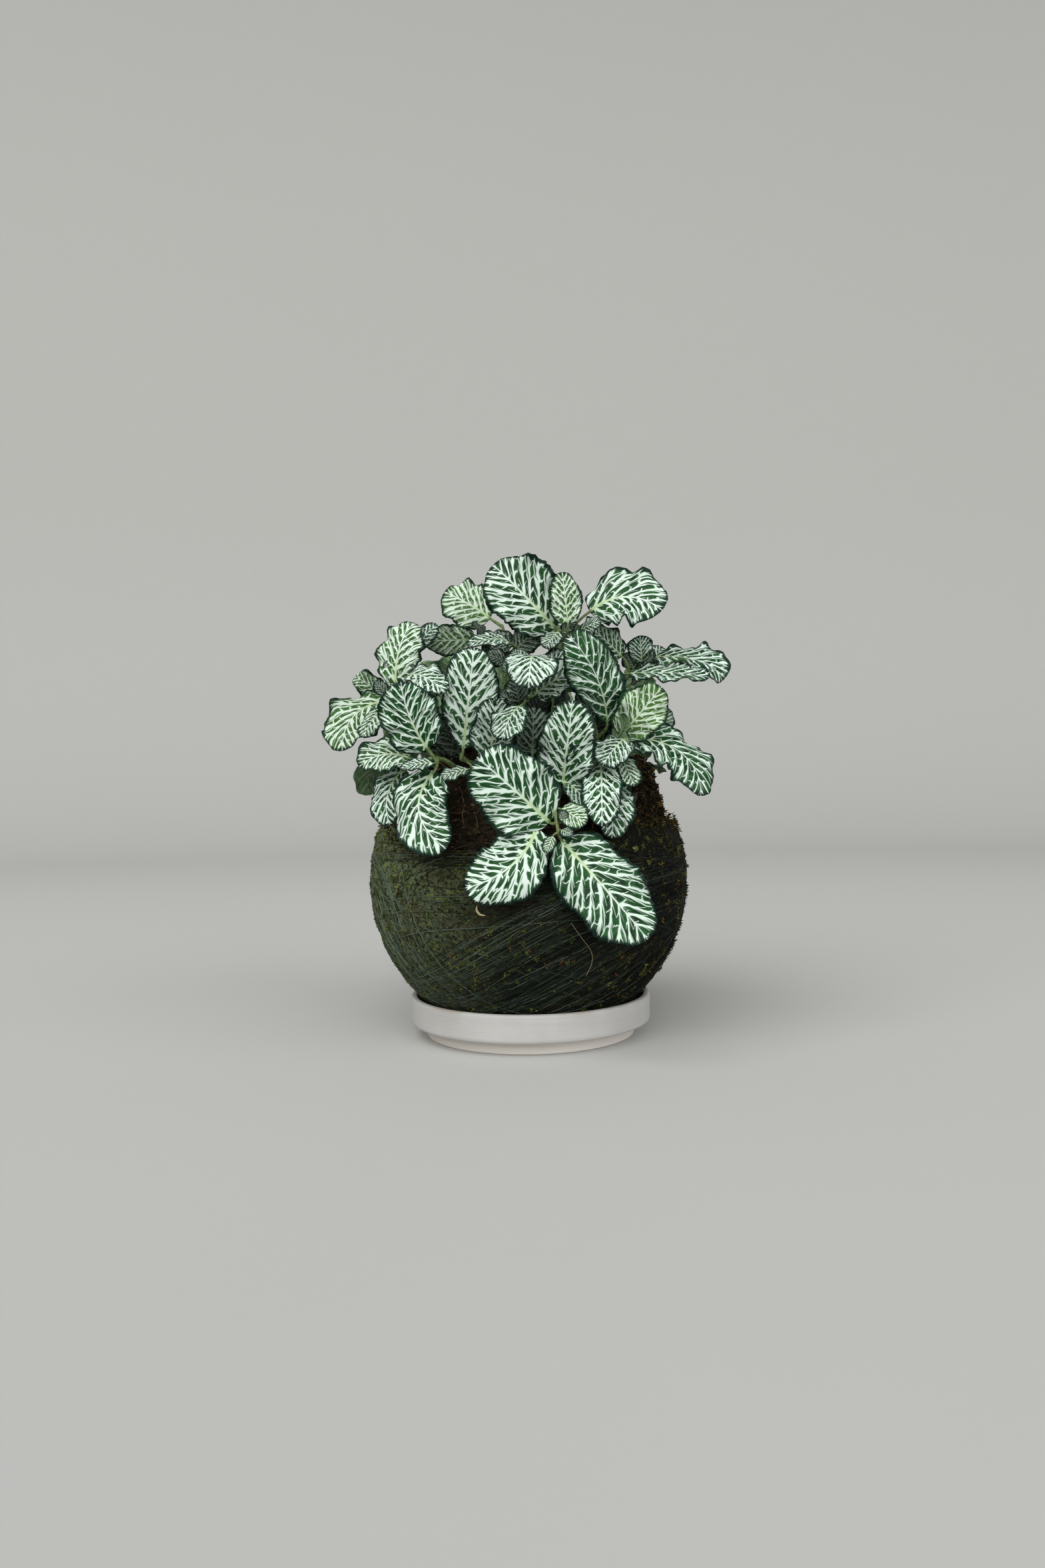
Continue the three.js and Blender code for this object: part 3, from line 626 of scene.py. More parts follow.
def scattered(count, seed, low, high, weight):
    """Directions drawn evenly over a band of polar degrees, kept where weight beats a second draw."""
    draw = np.random.default_rng(seed)
    level = draw.uniform(math.cos(math.radians(high)), math.cos(math.radians(low)), 6 * count)
    azimuth = draw.uniform(-np.pi, np.pi, 6 * count)
    out = directions(np.arccos(level), azimuth)
    kept = draw.uniform(0, 1, len(out)) < weight(out)
    return out[kept][:count]


def tufts(places, outs, sizes, lengths, seed):
    """Octahedra at the places: half as wide as `sizes`, as tall as `lengths`, points out."""
    draw = np.random.default_rng(seed)
    count = len(places)
    side = unit(np.cross(outs, draw.normal(size=(count, 3))))
    other = np.cross(outs, side)
    lean = unit(outs + 0.36 * draw.normal(size=(count, 3)))
    angle = np.arange(4) * np.pi / 2
    reach = sizes[:, None] / 2 * draw.uniform(0.6, 1.3, (count, 4))
    waist = side[:, None] * (np.cos(angle) * reach)[..., None]
    waist = waist + other[:, None] * (np.sin(angle) * reach)[..., None]
    waist = waist + outs[:, None] * (lengths[:, None] * draw.uniform(0.1, 0.4, (count, 4)))[..., None]
    tips = np.stack([-0.3 * outs * sizes[:, None], lean * lengths[:, None]], 1)
    points = places[:, None] + np.concatenate([waist, tips], 1)
    outer = [[0, 1, 5], [1, 2, 5], [2, 3, 5], [3, 0, 5]]
    inner = [[1, 0, 4], [2, 1, 4], [3, 2, 4], [0, 3, 4]]
    faces = (np.array(outer + inner) + TUFT_CORNERS * np.arange(count)[:, None, None]).reshape(-1, 3)
    return points.reshape(-1, 3), faces


def tuft_material():
    make = Maker("tuft_moss")
    colour = make.put("ShaderNodeAttribute", {"attribute_name": "tint"}, output="Color")
    grain = make.noise(make.place(), 900.0, 2.0)
    darker = make.blend(0.45, colour, tone(20, 18, 10))
    return make.finish(make.blend(grain.ramp(0.35, 0.65), darker, colour), 0.85, **MATT)


def tints(palette, shares, count, seed):
    """One colour of the palette for each scrap, drawn by its share and made lighter or darker."""
    draw = np.random.default_rng(seed)
    pick = draw.choice(len(palette), count, p=np.array(shares) / sum(shares))
    return np.array(palette)[pick][:, :3] * draw.uniform(0.55, 1.35, (count, 1))


MOSS_PALETTE = [tone(106, 112, 54), tone(78, 86, 40), tone(48, 57, 28), tone(88, 70, 46), tone(54, 43, 30)]
SHAGGY_PALETTE = [tone(74, 66, 26), tone(52, 48, 22), tone(34, 32, 16), tone(120, 96, 36)]


def clumped(centres, each, spread, seed):
    """Directions in clumps: `each` of them round every centre, up to about `spread` radians away."""
    draw = np.random.default_rng(seed)
    copies = np.repeat(centres, each, axis=0)
    return unit(copies + draw.normal(size=copies.shape) * spread * draw.uniform(0.2, 1, (len(copies), 1)))


def add_tufts():
    def weight(out):
        left = 0.5 - 0.5 * out[:, 0]
        low = 0.5 - 0.5 * out[:, 2]
        patch = lumps(out * BALL_RADIUS, 22.0, 8) * 0.5 + 0.5
        return np.clip(0.08 + 0.8 * patch * (0.25 + left) * (0.35 + low), 0, 1)

    def edge_weight(out):
        return np.clip(1.6 * out[:, 0] - 0.7, 0, 1)

    draw = np.random.default_rng(22)
    clumps = clumped(scattered(CLUMPS, 21, 72, 150, weight), CLUMP_TUFTS, 0.015, 25)
    single = scattered(SINGLE_TUFTS, 28, 70, 152, weight)
    shaggy = clumped(scattered(SHAGGY_CLUMPS, 26, 66, 150, edge_weight), SHAGGY_TUFTS, 0.022, 27)
    along_rim = draw.uniform(-np.pi, np.pi, RIM_TUFTS)
    rim = directions(rim_angle(along_rim) + draw.normal(0, 0.022, RIM_TUFTS), along_rim)
    out = np.concatenate([clumps, single, shaggy, rim])
    count = len(out)
    rough = (np.arange(count) >= len(clumps) + len(single)) * 1.0
    sizes = draw.gamma(4.0, 0.075, count) + 0.18
    lengths = 0.4 + draw.gamma(2.0, 0.14, count) + rough * draw.uniform(0.0, 1.1, count)
    places = out * (skin_radius(out) - 0.05)[:, None] + BALL_CENTRE
    points, faces = tufts(places, out, sizes, lengths, 23)
    green = tints(MOSS_PALETTE, [2, 3, 3, 0.8, 0.8], count, 24)
    shared = tints(MOSS_PALETTE, [3, 3, 2, 1.4, 0.8], CLUMPS, 30)
    green[:len(clumps)] = 0.85 * np.repeat(shared, CLUMP_TUFTS, axis=0)
    green[:len(clumps)] *= draw.uniform(0.7, 1.6, (len(clumps), 1))
    brown = tints(SHAGGY_PALETTE, [2, 2, 3, 1], count, 29)
    tint = np.repeat(np.where(rough[:, None] > 0, brown, green), TUFT_CORNERS, axis=0)
    piece = add_piece("moss_tufts", points, [faces], [tuft_material()], {"tint": tint}, smooth=False)
    belongs(piece, "moss")


add_tufts()

# %% [markdown]
# Inside the rim the soil shows: dark crumbs and a felt of roots, with a fuller shoulder at the right.
# The surface is again a sphere with lumps, cut off flat at the top where the stems grow, and crumbs
# and roots are scattered over it.

# %% Soil
def soil_points(out):
    """The soil's surface along unit directions, lumps and shoulder included."""
    azimuth = np.arctan2(out[..., 1], out[..., 0])
    polar = np.degrees(np.arccos(np.clip(out[..., 2], -1, 1)))
    shoulder = SHOULDER_SWELL * np.exp(-4 * (1 - np.cos(azimuth))) * np.exp(-(((polar - 46) / 13) ** 2))
    rough = np.exp(-(((polar - 40) / 45) ** 4))
    points = out * SOIL_RADIUS
    relief = 0.9 * lumps(points, 8.0, 31) + 0.7 * lumps(points, 3.0, 32)
    made = out * (SOIL_RADIUS - 0.4 + shoulder + rough * relief)[..., None] + BALL_CENTRE
    over = made[..., 2] - (SOIL_TOP - 0.5)
    made[..., 2] = np.where(over > 0, SOIL_TOP - 0.5 + 0.12 * over, made[..., 2])
    made[..., 2] = np.maximum(made[..., 2], SAUCER_FLOOR + WRAP_THICKNESS + 0.8)
    return made


def soil_material():
    make = Maker("crumbly_soil")
    place = make.place()
    broad = make.noise(place, 110.0, 3.0)
    fine = make.noise(place, 650.0, 4.0, 0.7)
    colour = make.blend(fine.ramp(0.35, 0.7), tone(10, 9, 5), tone(47, 38, 24))
    colour = make.blend(broad.ramp(0.5, 0.75) * 0.5, colour, tone(60, 44, 27))
    return make.finish(colour, 0.9, fine * 0.7 + broad * 0.3, 0.9, **MATT)


def add_soil():
    columns = 200
    azimuth = np.linspace(0, 2 * np.pi, columns, endpoint=False)[None]
    polar = np.concatenate([np.linspace(0.015, 1.5, 84), np.linspace(1.55, math.pi - 0.02, 20)])[:, None]
    rings = soil_points(directions(polar[::-1], azimuth))
    points, faces = capped_rings(rings, *soil_points(np.array([[0, 0, -1.0], [0, 0, 1.0]])))
    piece = add_piece("soil_core", points, faces, [soil_material()])
    belongs(piece, "soil", "soil_ball")


SOIL_PALETTE = [tone(36, 31, 20), tone(58, 48, 31), tone(92, 74, 48), tone(19, 17, 10)]
SHOULDER_PALETTE = [
    tone(44, 36, 15), tone(30, 26, 12), tone(104, 78, 26), tone(66, 50, 20), tone(18, 16, 9),
]


def add_crumbs():
    """Crumbs over the open soil, and orange-brown moss on the right shoulder."""

    def to_the_right(way):
        return np.exp(-7 * (1 - way[:, 0] / np.hypot(way[:, 0], way[:, 1])))

    out = scattered(4200, 41, 22, 74, lambda way: np.full(len(way), 0.5))
    draw = np.random.default_rng(42)
    sizes = draw.gamma(3.0, 0.24, len(out)) + 0.35
    plain = tufts(soil_points(out), out, sizes, sizes * 0.7, 43)
    plain_tints = tints(SOIL_PALETTE, [3, 3, 1.4, 2], len(out), 44)
    right = scattered(3600, 45, 26, 72, to_the_right)
    sizes = draw.gamma(3.0, 0.18, len(right)) + 0.3
    moss = tufts(soil_points(right), right, sizes, sizes * 1.4, 46)
    moss_tints = tints(SHOULDER_PALETTE, [2, 2.5, 0.8, 1.5, 2], len(right), 47)
    points = np.concatenate([plain[0], moss[0]])
    faces = [plain[1], moss[1] + len(plain[0])]
    tint = np.repeat(np.concatenate([plain_tints, moss_tints]), TUFT_CORNERS, axis=0)
    piece = add_piece("soil_crumbs", points, faces, [tuft_material()], {"tint": tint}, smooth=False)
    belongs(piece, "soil")


add_soil()
add_crumbs()

# %% [markdown]
# Tubes make the roots, the stems and the petioles, and also the two loose bits that lie on the ball: a
# pale crescent of husk and one long root hair. A tube carries a ring of points along a path; the
# ring's first side is turned as little as can be from one step to the next.

# %% Tubes along paths
def tube(path, radii, sides, side=None):
    """Points and faces of a closed tube. `side` is a first direction across the path."""
    path = np.asarray(path, float)
    ahead = unit(np.gradient(path, axis=0))
    start = np.array([0.31, 0.85, 0.42]) if side is None else side
    across = []
    for way in ahead:
        start = unit(start - way * (start @ way))
        across.append(start)
    across = np.array(across)
    lift = np.cross(across, ahead)
    angle = np.linspace(0, 2 * np.pi, sides, endpoint=False)
    ring = across[:, None] * np.cos(angle)[:, None] - lift[:, None] * np.sin(angle)[:, None]
    points = path[:, None] + ring * np.broadcast_to(radii, len(path))[:, None, None]
    faces = grid_faces(len(path), sides, around=True)
    lids = [np.arange(sides)[::-1], (len(path) - 1) * sides + np.arange(sides)]
    return points.reshape(-1, 3), [faces, np.array(lids)]


def curve_through(points, steps):
    """A smooth curve through the points, a Catmull-Rom spline with its ends run on."""
    line = np.asarray(points, float)
    line = np.concatenate([[2 * line[0] - line[1]], line, [2 * line[-1] - line[-2]]])
    span = np.linspace(0, len(points) - 1, steps)
    first = np.minimum(span.astype(int), len(points) - 2)
    share = (span - first)[:, None]
    a, b, c, d = (line[first + shift] for shift in range(4))
    bend = (2 * a - 5 * b + 4 * c - d) * share ** 2
    return 0.5 * (2 * b + (c - a) * share + bend + (3 * b - a - 3 * c + d) * share ** 3)


def joined(parts):
    """Several (points, faces) put together as one."""
    points, faces, count = [], [], 0
    for part_points, part_faces in parts:
        points.append(part_points)
        faces += [np.asarray(block) + count for block in part_faces]
        count += len(part_points)
    return np.concatenate(points), faces


def root_material():
    make = Maker("dry_root")
    grain = make.noise(make.place(), 400.0, 2.0)
    return make.finish(make.blend(grain.ramp(0.3, 0.7), tone(46, 33, 22), tone(104, 80, 56)), 0.8)


def add_roots():
    """Short roots that lie on the soil."""
    draw = np.random.default_rng(61)
    starts = scattered(260, 62, 34, 76, lambda way: np.full(len(way), 0.5))
    parts = []
    for out in starts:
        heading = unit(np.cross(out, draw.normal(size=3)))
        share = np.linspace(0, 1, 9)[:, None]
        bend = np.cross(out, heading) * draw.uniform(-0.06, 0.06)
        way = unit(out + heading * share * draw.uniform(0.06, 0.2) + bend * share ** 2)
        hump = np.sin(np.pi * share[:, 0]) * draw.uniform(0.4, 2.4)
        path = soil_points(way) + way * hump[:, None]
        parts.append(tube(path, draw.uniform(0.12, 0.28), 3))
    points, faces = joined(parts)
    piece = add_piece("soil_roots", points, faces, [root_material()])
    belongs(piece, "soil")


CRESCENT = [(-19.4, 60.4), (-19.3, 58.6), (-18.2, 57.2), (-16.2, 56.8)]
ROOT_HAIR = [(15.2, 53.5, 0.7), (18.6, 48.4, 1.6), (22.6, 42.2, 0.9), (22.9, 37.5, 1.8), (20.8, 32.0, 0.7)]
ROOT_HAIR_RADIUS = 0.065


def on_front(x, z, lift):
    """The place over the front of the ball with the given x and z, `lift` above the skin."""
    return np.array([x, -math.sqrt((BALL_RADIUS + lift) ** 2 - x ** 2 - (z - BALL_CENTRE[2]) ** 2), z])


def add_loose_bits():
    """A pale crescent of husk and one long root hair on the front of the ball."""
    make = Maker("pale_husk")
    grain = make.noise(make.place(), 800.0, 2.0)
    husk = make.finish(make.blend(grain, tone(200, 188, 146), tone(150, 136, 100)), 0.7, **MATT)
    crescent = [on_front(x, z, 0.8) for x, z in CRESCENT]
    hair = [on_front(x, z, lift) for x, z, lift in ROOT_HAIR]
    plump = 0.06 + 0.42 * np.sin(np.linspace(0, np.pi, 24)) ** 0.7
    husk_tube = tube(curve_through(crescent, 24), plump, 8)
    points, faces = joined([husk_tube, tube(curve_through(hair, 40), ROOT_HAIR_RADIUS, 5)])
    piece = add_piece("loose_bits", points, faces, [husk])
    belongs(piece, "soil")


add_roots()
add_loose_bits()

# %% [markdown]
# The plant has twelve leafy stems in front and ten behind. Each is a short list: the points of its stem
# and, for each leaf, the foot of the blade, its tip, the way its upper face looks, its width, how many
# degrees it arches, how far its midrib bows to one side as a share of its length, and how many degrees
# its tip hooks over. The solids are built from nearly the same list; a few blades are a little wider or
# blunter here.

# %% The leafy stems in millimetres
SHOOTS = [
    {
        "name": "shoot_far_left",
        "stem": [[-25, -6, 108], [-40, -10, 127], [-52, -12, 137]],
        "leaves": [
            [[-57, -12, 138], [-73, -24, 118], [-4, -8, 5], 22, 55, 0.15, 0],
            [[-58, -3, 140], [-70, -4, 148], [-3, -8, 4], 10, 30, 0, 90],
            [[-52, 4, 142], [-64, 8, 146], [-1, -6, 7], 9, 30, 0, 0],
            [[-57, -20, 135], [-64, -30, 123], [-3, -8, 4], 10, 30, 0, 0],
        ],
    },
    {
        "name": "shoot_left_upright",
        "stem": [[-22, -14, 108], [-38, -22, 130], [-48, -30, 143]],
        "leaves": [
            [[-51, -28, 144], [-43, -22, 168], [-4, -9, 2], 19, 35, -0.05, 40],
            [[-46, -39, 146], [-30, -54, 139], [0, -7, 7], 15, 75, 0, 0],
            [[-46, -24, 156], [-35, -18, 168], [1, -9, 2], 8, 20, 0, 0],
        ],
    },
    {
        "name": "shoot_left_low",
        "stem": [[-20, -28, 104], [-30, -42, 113], [-35, -49, 115]],
        "leaves": [
            [[-37, -51, 118], [-46, -59, 143], [-1, -9.5, 2.5], 23, 20, -0.06, 0],
            [[-35, -51, 110], [-30, -68, 82], [-2, -9, 4], 23, 35, 0.22, 0],
            [[-47, -42, 111], [-52, -51, 90], [-4, -8, 4], 16, 40, 0.12, 0],
            [[-44, -49, 115], [-63, -50, 112], [-2, -7, 6.5], 17, 30, 0.15, 0],
            [[-35, -54, 113], [-47, -58, 111], [-1, -7, 7], 7, 30, 0, 0],
        ],
    },
    {
        "name": "shoot_middle_left",
        "stem": [[-12, -28, 106], [-20, -38, 112], [-25, -45, 114]],
        "leaves": [
            [[-24, -47, 118], [-19, -50, 156], [0, -10, 1.5], 21, 15, 0, 0],
            [[-14, -47, 114], [-11, -51, 137], [1, -10, 1], 17, 15, 0, 0],
            [[-22, -49, 110.5], [-33, -53, 107], [0, -5, 8], 8, 20, 0, 0],
        ],
    },
    {
        "name": "shoot_front_low",
        "stem": [[4, -38, 98], [8, -54, 100], [10, -62, 94], [11, -66, 87]],
        "leaves": [
            [[8, -62, 90.5], [-18, -72, 115], [-1, -9.5, 3], 30, 20, 0, 0],
            [[3, -62, 88], [-23, -72, 68], [-1, -9.5, 2.5], 24, 25, -0.14, 0],
            [[12, -63, 84], [42, -76, 49], [1, -9.5, 2.5], 29, 22, 0, 0],
            [[12, -62, 95.5], [21, -67, 90], [0, -8.5, 5], 11, 30, 0, 0],
        ],
    },
    {
        "name": "shoot_front_middle",
        "stem": [[10, -26, 106], [13, -40, 105], [19, -43, 108]],
        "leaves": [
            [[13, -50, 102], [17, -61, 135], [0, -10, 1], 22, 20, 0, 0],
            [[28, -46, 112], [27, -64, 89], [0, -9, 4], 16, 40, 0, 0],
            [[33, -42, 106], [31, -57, 84], [1, -9, 3], 17, 30, 0, 0],
            [[13, -46, 101], [24, -54, 95], [0, -8, 5], 11, 20, 0, 0],
            [[2, -40, 111], [3, -42, 134], [0, -10, 1], 15, 20, 0, 0],
        ],
    },
    {
        "name": "shoot_centre",
        "stem": [[0, -16, 110], [0, -28, 124], [-1, -40, 132], [1, -42, 148]],
        "leaves": [
            [[3, -43, 153], [1, -58, 140], [0, -6, 8], 20, 90, 0, 0],
            [[3, -44, 138], [22, -40, 149], [0, -8, 6], 16, 30, 0, 0],
            [[-2, -52, 134], [-9, -61, 121], [-3, -7, 6], 15, 60, 0, 0],
            [[-2, -44, 132], [-10, -48, 139], [0, -8, 5], 9, 30, 0, 0],
            [[6, -37, 146], [17, -37, 154], [0, -8, 6], 11, 30, 0, 0],
        ],
    },
    {
        "name": "shoot_top_left",
        "stem": [[-8, -4, 110], [-9, -8, 138], [-7, -12, 156], [-9, -3, 168]],
        "leaves": [
            [[-14, 2, 172], [-33, 2, 183], [-1, -8, 5], 22, 30, 0, 0],
            [[-20, -12, 162], [-41, -14, 162], [0, -9, -2], 13, 20, 0, 0],
            [[-6, -34, 159], [-22, -42, 157], [0, -7, 7], 9, 60, 0, 0],
            [[-5, -16, 159], [-15, -13, 163], [0, -9, 4], 11, 10, 0, 0],
            [[-7, -25, 152], [-15, -28, 155], [0, -9, 4], 8, 10, 0, 0],
            [[-4, -19, 157], [6, -21, 166], [1, -9, 4], 12, 10, 0, 0],
        ],
    },
    {
        "name": "shoot_top",
        "stem": [[6, -2, 110], [11, -12, 140], [14, -22, 160]],
        "leaves": [
            [[12, -26, 165], [-12, -26, 190], [-0.5, -10, 1.5], 28, 20, 0, 25],
            [[17, -30, 166], [15, -32, 186], [0, -10, 1], 13, 15, 0, 0],
            [[26, -20, 172], [54, -28, 171], [1, -9, 4], 27, 35, -0.17, 0],
            [[13, -32, 163], [8, -38, 156], [-1, -7, 7], 9, 30, 0, 0],
        ],
    },
    {
        "name": "shoot_middle_right",
        "stem": [[14, -18, 108], [24, -32, 118], [30, -40, 124]],
        "leaves": [
            [[31, -43, 127], [16, -51, 160], [0, -9.5, 3], 20, 20, 0.08, 15],
            [[26, -36, 128], [21, -38, 140], [0, -9, 3], 9, 10, 0, 0],
        ],
    },
    {
        "name": "shoot_right_upright",
        "stem": [[22, -4, 108], [34, -10, 134], [42, -14, 147]],
        "leaves": [
            [[39, -17, 154], [27, -20, 165], [0, -9.5, 3], 13, 10, 0, 0],
            [[47, -15, 151], [46, -19, 162], [0, -9.5, 3], 11, 10, 0, 0],
            [[48, -10, 149], [57, -6, 158], [1, -8, 5], 10, 10, 0, 0],
            [[52, -8, 154], [78, -22, 143], [1, -6, 8], 20, 40, 0, 60],
            [[41, -22, 147], [71, -36, 144], [0, -4.5, 9], 17, 15, 0, 0],
        ],
    },
    {
        "name": "shoot_right_middle",
        "stem": [[20, -22, 106], [30, -34, 116], [36, -41, 120]],
        "leaves": [
            [[36, -44, 122], [51, -50, 140], [2, -9.5, 2], 19, 15, 0, 0],
            [[39, -42, 121], [65, -52, 99], [4, -7, 6], 22, 45, -0.2, 20],
            [[37, -48, 121], [28, -57, 111], [-1, -8, 6], 15, 40, 0, 0],
            [[52, -20, 123], [57, -18, 133], [2, -9.5, 2], 10, 10, 0, 0],
            [[36, -41, 114], [40, -52, 103], [1, -9, 4], 10, 20, 0, 0],
        ],
    },
]

# %% [markdown]
# The stems at the back are turned and resized copies of those in front. Small leaves that are too slight
# for the solids are listed apart.

# %% Stems at the back and small leaves
BACK_SHOOTS = [
    {"name": "shoot_back_low", "like": "shoot_front_low", "turn": 190, "size": 0.97},
    {"name": "shoot_back_middle", "like": "shoot_front_middle", "turn": 190, "size": 0.97},
    {"name": "shoot_back_right_low", "like": "shoot_left_low", "turn": 190, "size": 0.97},
    {"name": "shoot_back_left", "like": "shoot_right_middle", "turn": 190, "size": 0.97},
    {"name": "shoot_back_upright", "like": "shoot_middle_left", "turn": 190, "size": 0.97},
    {"name": "shoot_back_centre", "like": "shoot_centre", "turn": 190, "size": 0.97},
    {"name": "shoot_back_middle_left", "like": "shoot_middle_right", "turn": 190, "size": 0.97},
    {"name": "shoot_back_side", "like": "shoot_middle_left", "turn": 138, "size": 1},
    {"name": "shoot_back_top_right", "like": "shoot_top_left", "turn": 168, "size": 0.84},
    {"name": "shoot_back_top_left", "like": "shoot_top", "turn": 198, "size": 0.74},
]

SMALL_LEAVES = {
    "shoot_front_low": [
        [[9, -67, 86], [6, -70.5, 80], [0, -9, 3], 5, 15, 0, 0],
        [[12, -66.5, 88], [16, -70, 86], [1, -9, 4], 5, 20, 0, 0],
        [[12.5, -65, 91], [13, -68.5, 95.5], [1, -9, 3], 4.5, 20, 0, 0],
    ],
    "shoot_far_left": [
        [[-56, -8, 140], [-61, -12, 146], [-3, -8, 5], 6, 20, 0, 0],
    ],
    "shoot_left_upright": [
        [[-50, -25, 146], [-55, -26, 153], [-3, -8, 4], 7, 25, 0, 0],
    ],
    "shoot_centre": [
        [[-1, -45, 146], [-9, -47, 149], [0, -8, 6], 9, 30, 0, 0],
        [[2, -38, 149], [-5, -34, 156], [0, -8, 5], 8, 25, 0, 0],
    ],
    "shoot_right_upright": [
        [[44, -12, 149], [41, -10, 156], [1, -9, 3], 7, 20, 0, 0],
        [[45, -9, 150], [52, -4, 154], [2, -8, 5], 8, 25, 0, 0],
    ],
    "shoot_top": [
        [[15, -24, 163], [20, -27, 168], [0, -9, 4], 6, 20, 0, 0],
        [[22, -24, 164], [30, -30, 167], [0, -9, 4], 8, 20, 0, 0],
    ],
}


def filler_leaves(shoot, seed):
    """Young leaves along the inner part of a stem, drawn by a seeded rule, that close the gaps."""
    draw = np.random.default_rng(seed)
    stem = curve_through(shoot["stem"], 20)
    leaves = []
    for place in (7, 10, 13):
        outward = stem[place] - np.array([0, 0, 96])
        outward[2] *= 0.3
        outward = unit(outward)
        turn = draw.uniform(-1, 1, 3) * (14, 14, 5)
        foot = stem[place] + outward * draw.uniform(-2, 3) + turn * 0.4
        tip = foot + unit(0.35 * outward + (0, 0, 0.7) + turn * 0.05) * draw.uniform(12, 19)
        reach = [np.linalg.norm(point - BALL_CENTRE) for point in (foot, tip)]
        if min(reach) < BLADE_CLEAR_RADIUS + 1:
            foot, tip = (point + unit(point - BALL_CENTRE) * (70 - min(reach)) for point in (foot, tip))
        face = outward + (0, 0, 0.35) + draw.uniform(-0.3, 0.3, 3)
        leaves.append([foot, tip, face, draw.uniform(9, 13), draw.uniform(10, 40), 0, 0])
    return leaves


def turned_shoot(copy):
    """A stem of the front list, resized about the ball's centre and turned about the upright axis."""
    pattern = next(shoot for shoot in SHOOTS if shoot["name"] == copy["like"])
    angle = math.radians(copy["turn"])
    spin = np.array([
        [math.cos(angle), -math.sin(angle), 0],
        [math.sin(angle), math.cos(angle), 0],
        [0, 0, 1],
    ])

    def moved(point):
        return spin @ ((np.array(point, float) - BALL_CENTRE) * copy["size"] + BALL_CENTRE)

    leaves = [
        [moved(foot), moved(tip), spin @ np.array(face, float), width * copy["size"], *bends]
        for foot, tip, face, width, *bends in pattern["leaves"]
    ]
    return {"name": copy["name"], "stem": [moved(point) for point in pattern["stem"]], "leaves": leaves}


ALL_SHOOTS = SHOOTS + [turned_shoot(copy) for copy in BACK_SHOOTS]
print(len(ALL_SHOOTS), "leafy stems with", sum(len(shoot["leaves"]) for shoot in ALL_SHOOTS), "leaves")

# %% [markdown]
# A blade is one sheet: its midrib is a curve in the leaf's own upright plane, and at each place along
# it a line of points runs out to both margins. Half the width is a broad oval that is blunt at both
# ends. The margin ripples, long waves first and small frills over them, and the midrib lies in a
# groove. Sculpting would suit one leaf, but a formula gives each of nearly two hundred leaves its own
# shape from a few numbers.

# %% Blade surface
WAVE_TURN = 6.28
RIPPLE_HEIGHT = 0.1
FRILL_HEIGHT = 0.045
FLARE_HEIGHT = 0.46
LEAF_FORMS = {13: 1.35, 20: 1.0, 25: 1.0, 38: 1.0, 40: 1.25, 27: 1.2, 45: 1.1, 16: 0.95}


def trait(leaf_number, which):
    """A number from 0 to 1 that depends on the leaf and on which trait it is for."""
    value = math.sin(leaf_number * 12.9898 + which * 78.233) * 43758.5453
    return value - math.floor(value)


def midrib(arch, hook, share):
    """The midrib from the side for a chord of length 1: along, up and turn at each share. The turning
    grows evenly by `arch` degrees from foot to tip, and by `hook` more near the tip."""
    fine = np.linspace(0, 1, 49)
    hooked = np.clip((fine - 0.62) / 0.38, 0, 1) ** 1.5
    turns = np.radians(arch) * (fine - 0.5) + np.radians(hook) * hooked
    along = np.concatenate([[0], np.cumsum((np.cos(turns)[1:] + np.cos(turns)[:-1]) / 2)])
    rise = -np.concatenate([[0], np.cumsum((np.sin(turns)[1:] + np.sin(turns)[:-1]) / 2)])
    tilt = math.atan2(rise[-1], along[-1])
    size = math.hypot(along[-1], rise[-1])
    level = (along * math.cos(tilt) + rise * math.sin(tilt)) / size
    height = (rise * math.cos(tilt) - along * math.sin(tilt)) / size
    return [np.interp(share, fine, values) for values in (level, height, turns + tilt)]


def half_width(width, share, number):
    """Half the blade's width: a broad oval, blunt at the foot and the tip. Some leaves are widest
    beyond the middle."""
    fullest = LEAF_FORMS.get(number, 0.82 + 0.2 * trait(number, 8))
    return width / 2 * (0.1 + 0.9 * np.sin(np.pi * share ** fullest) ** 0.47)


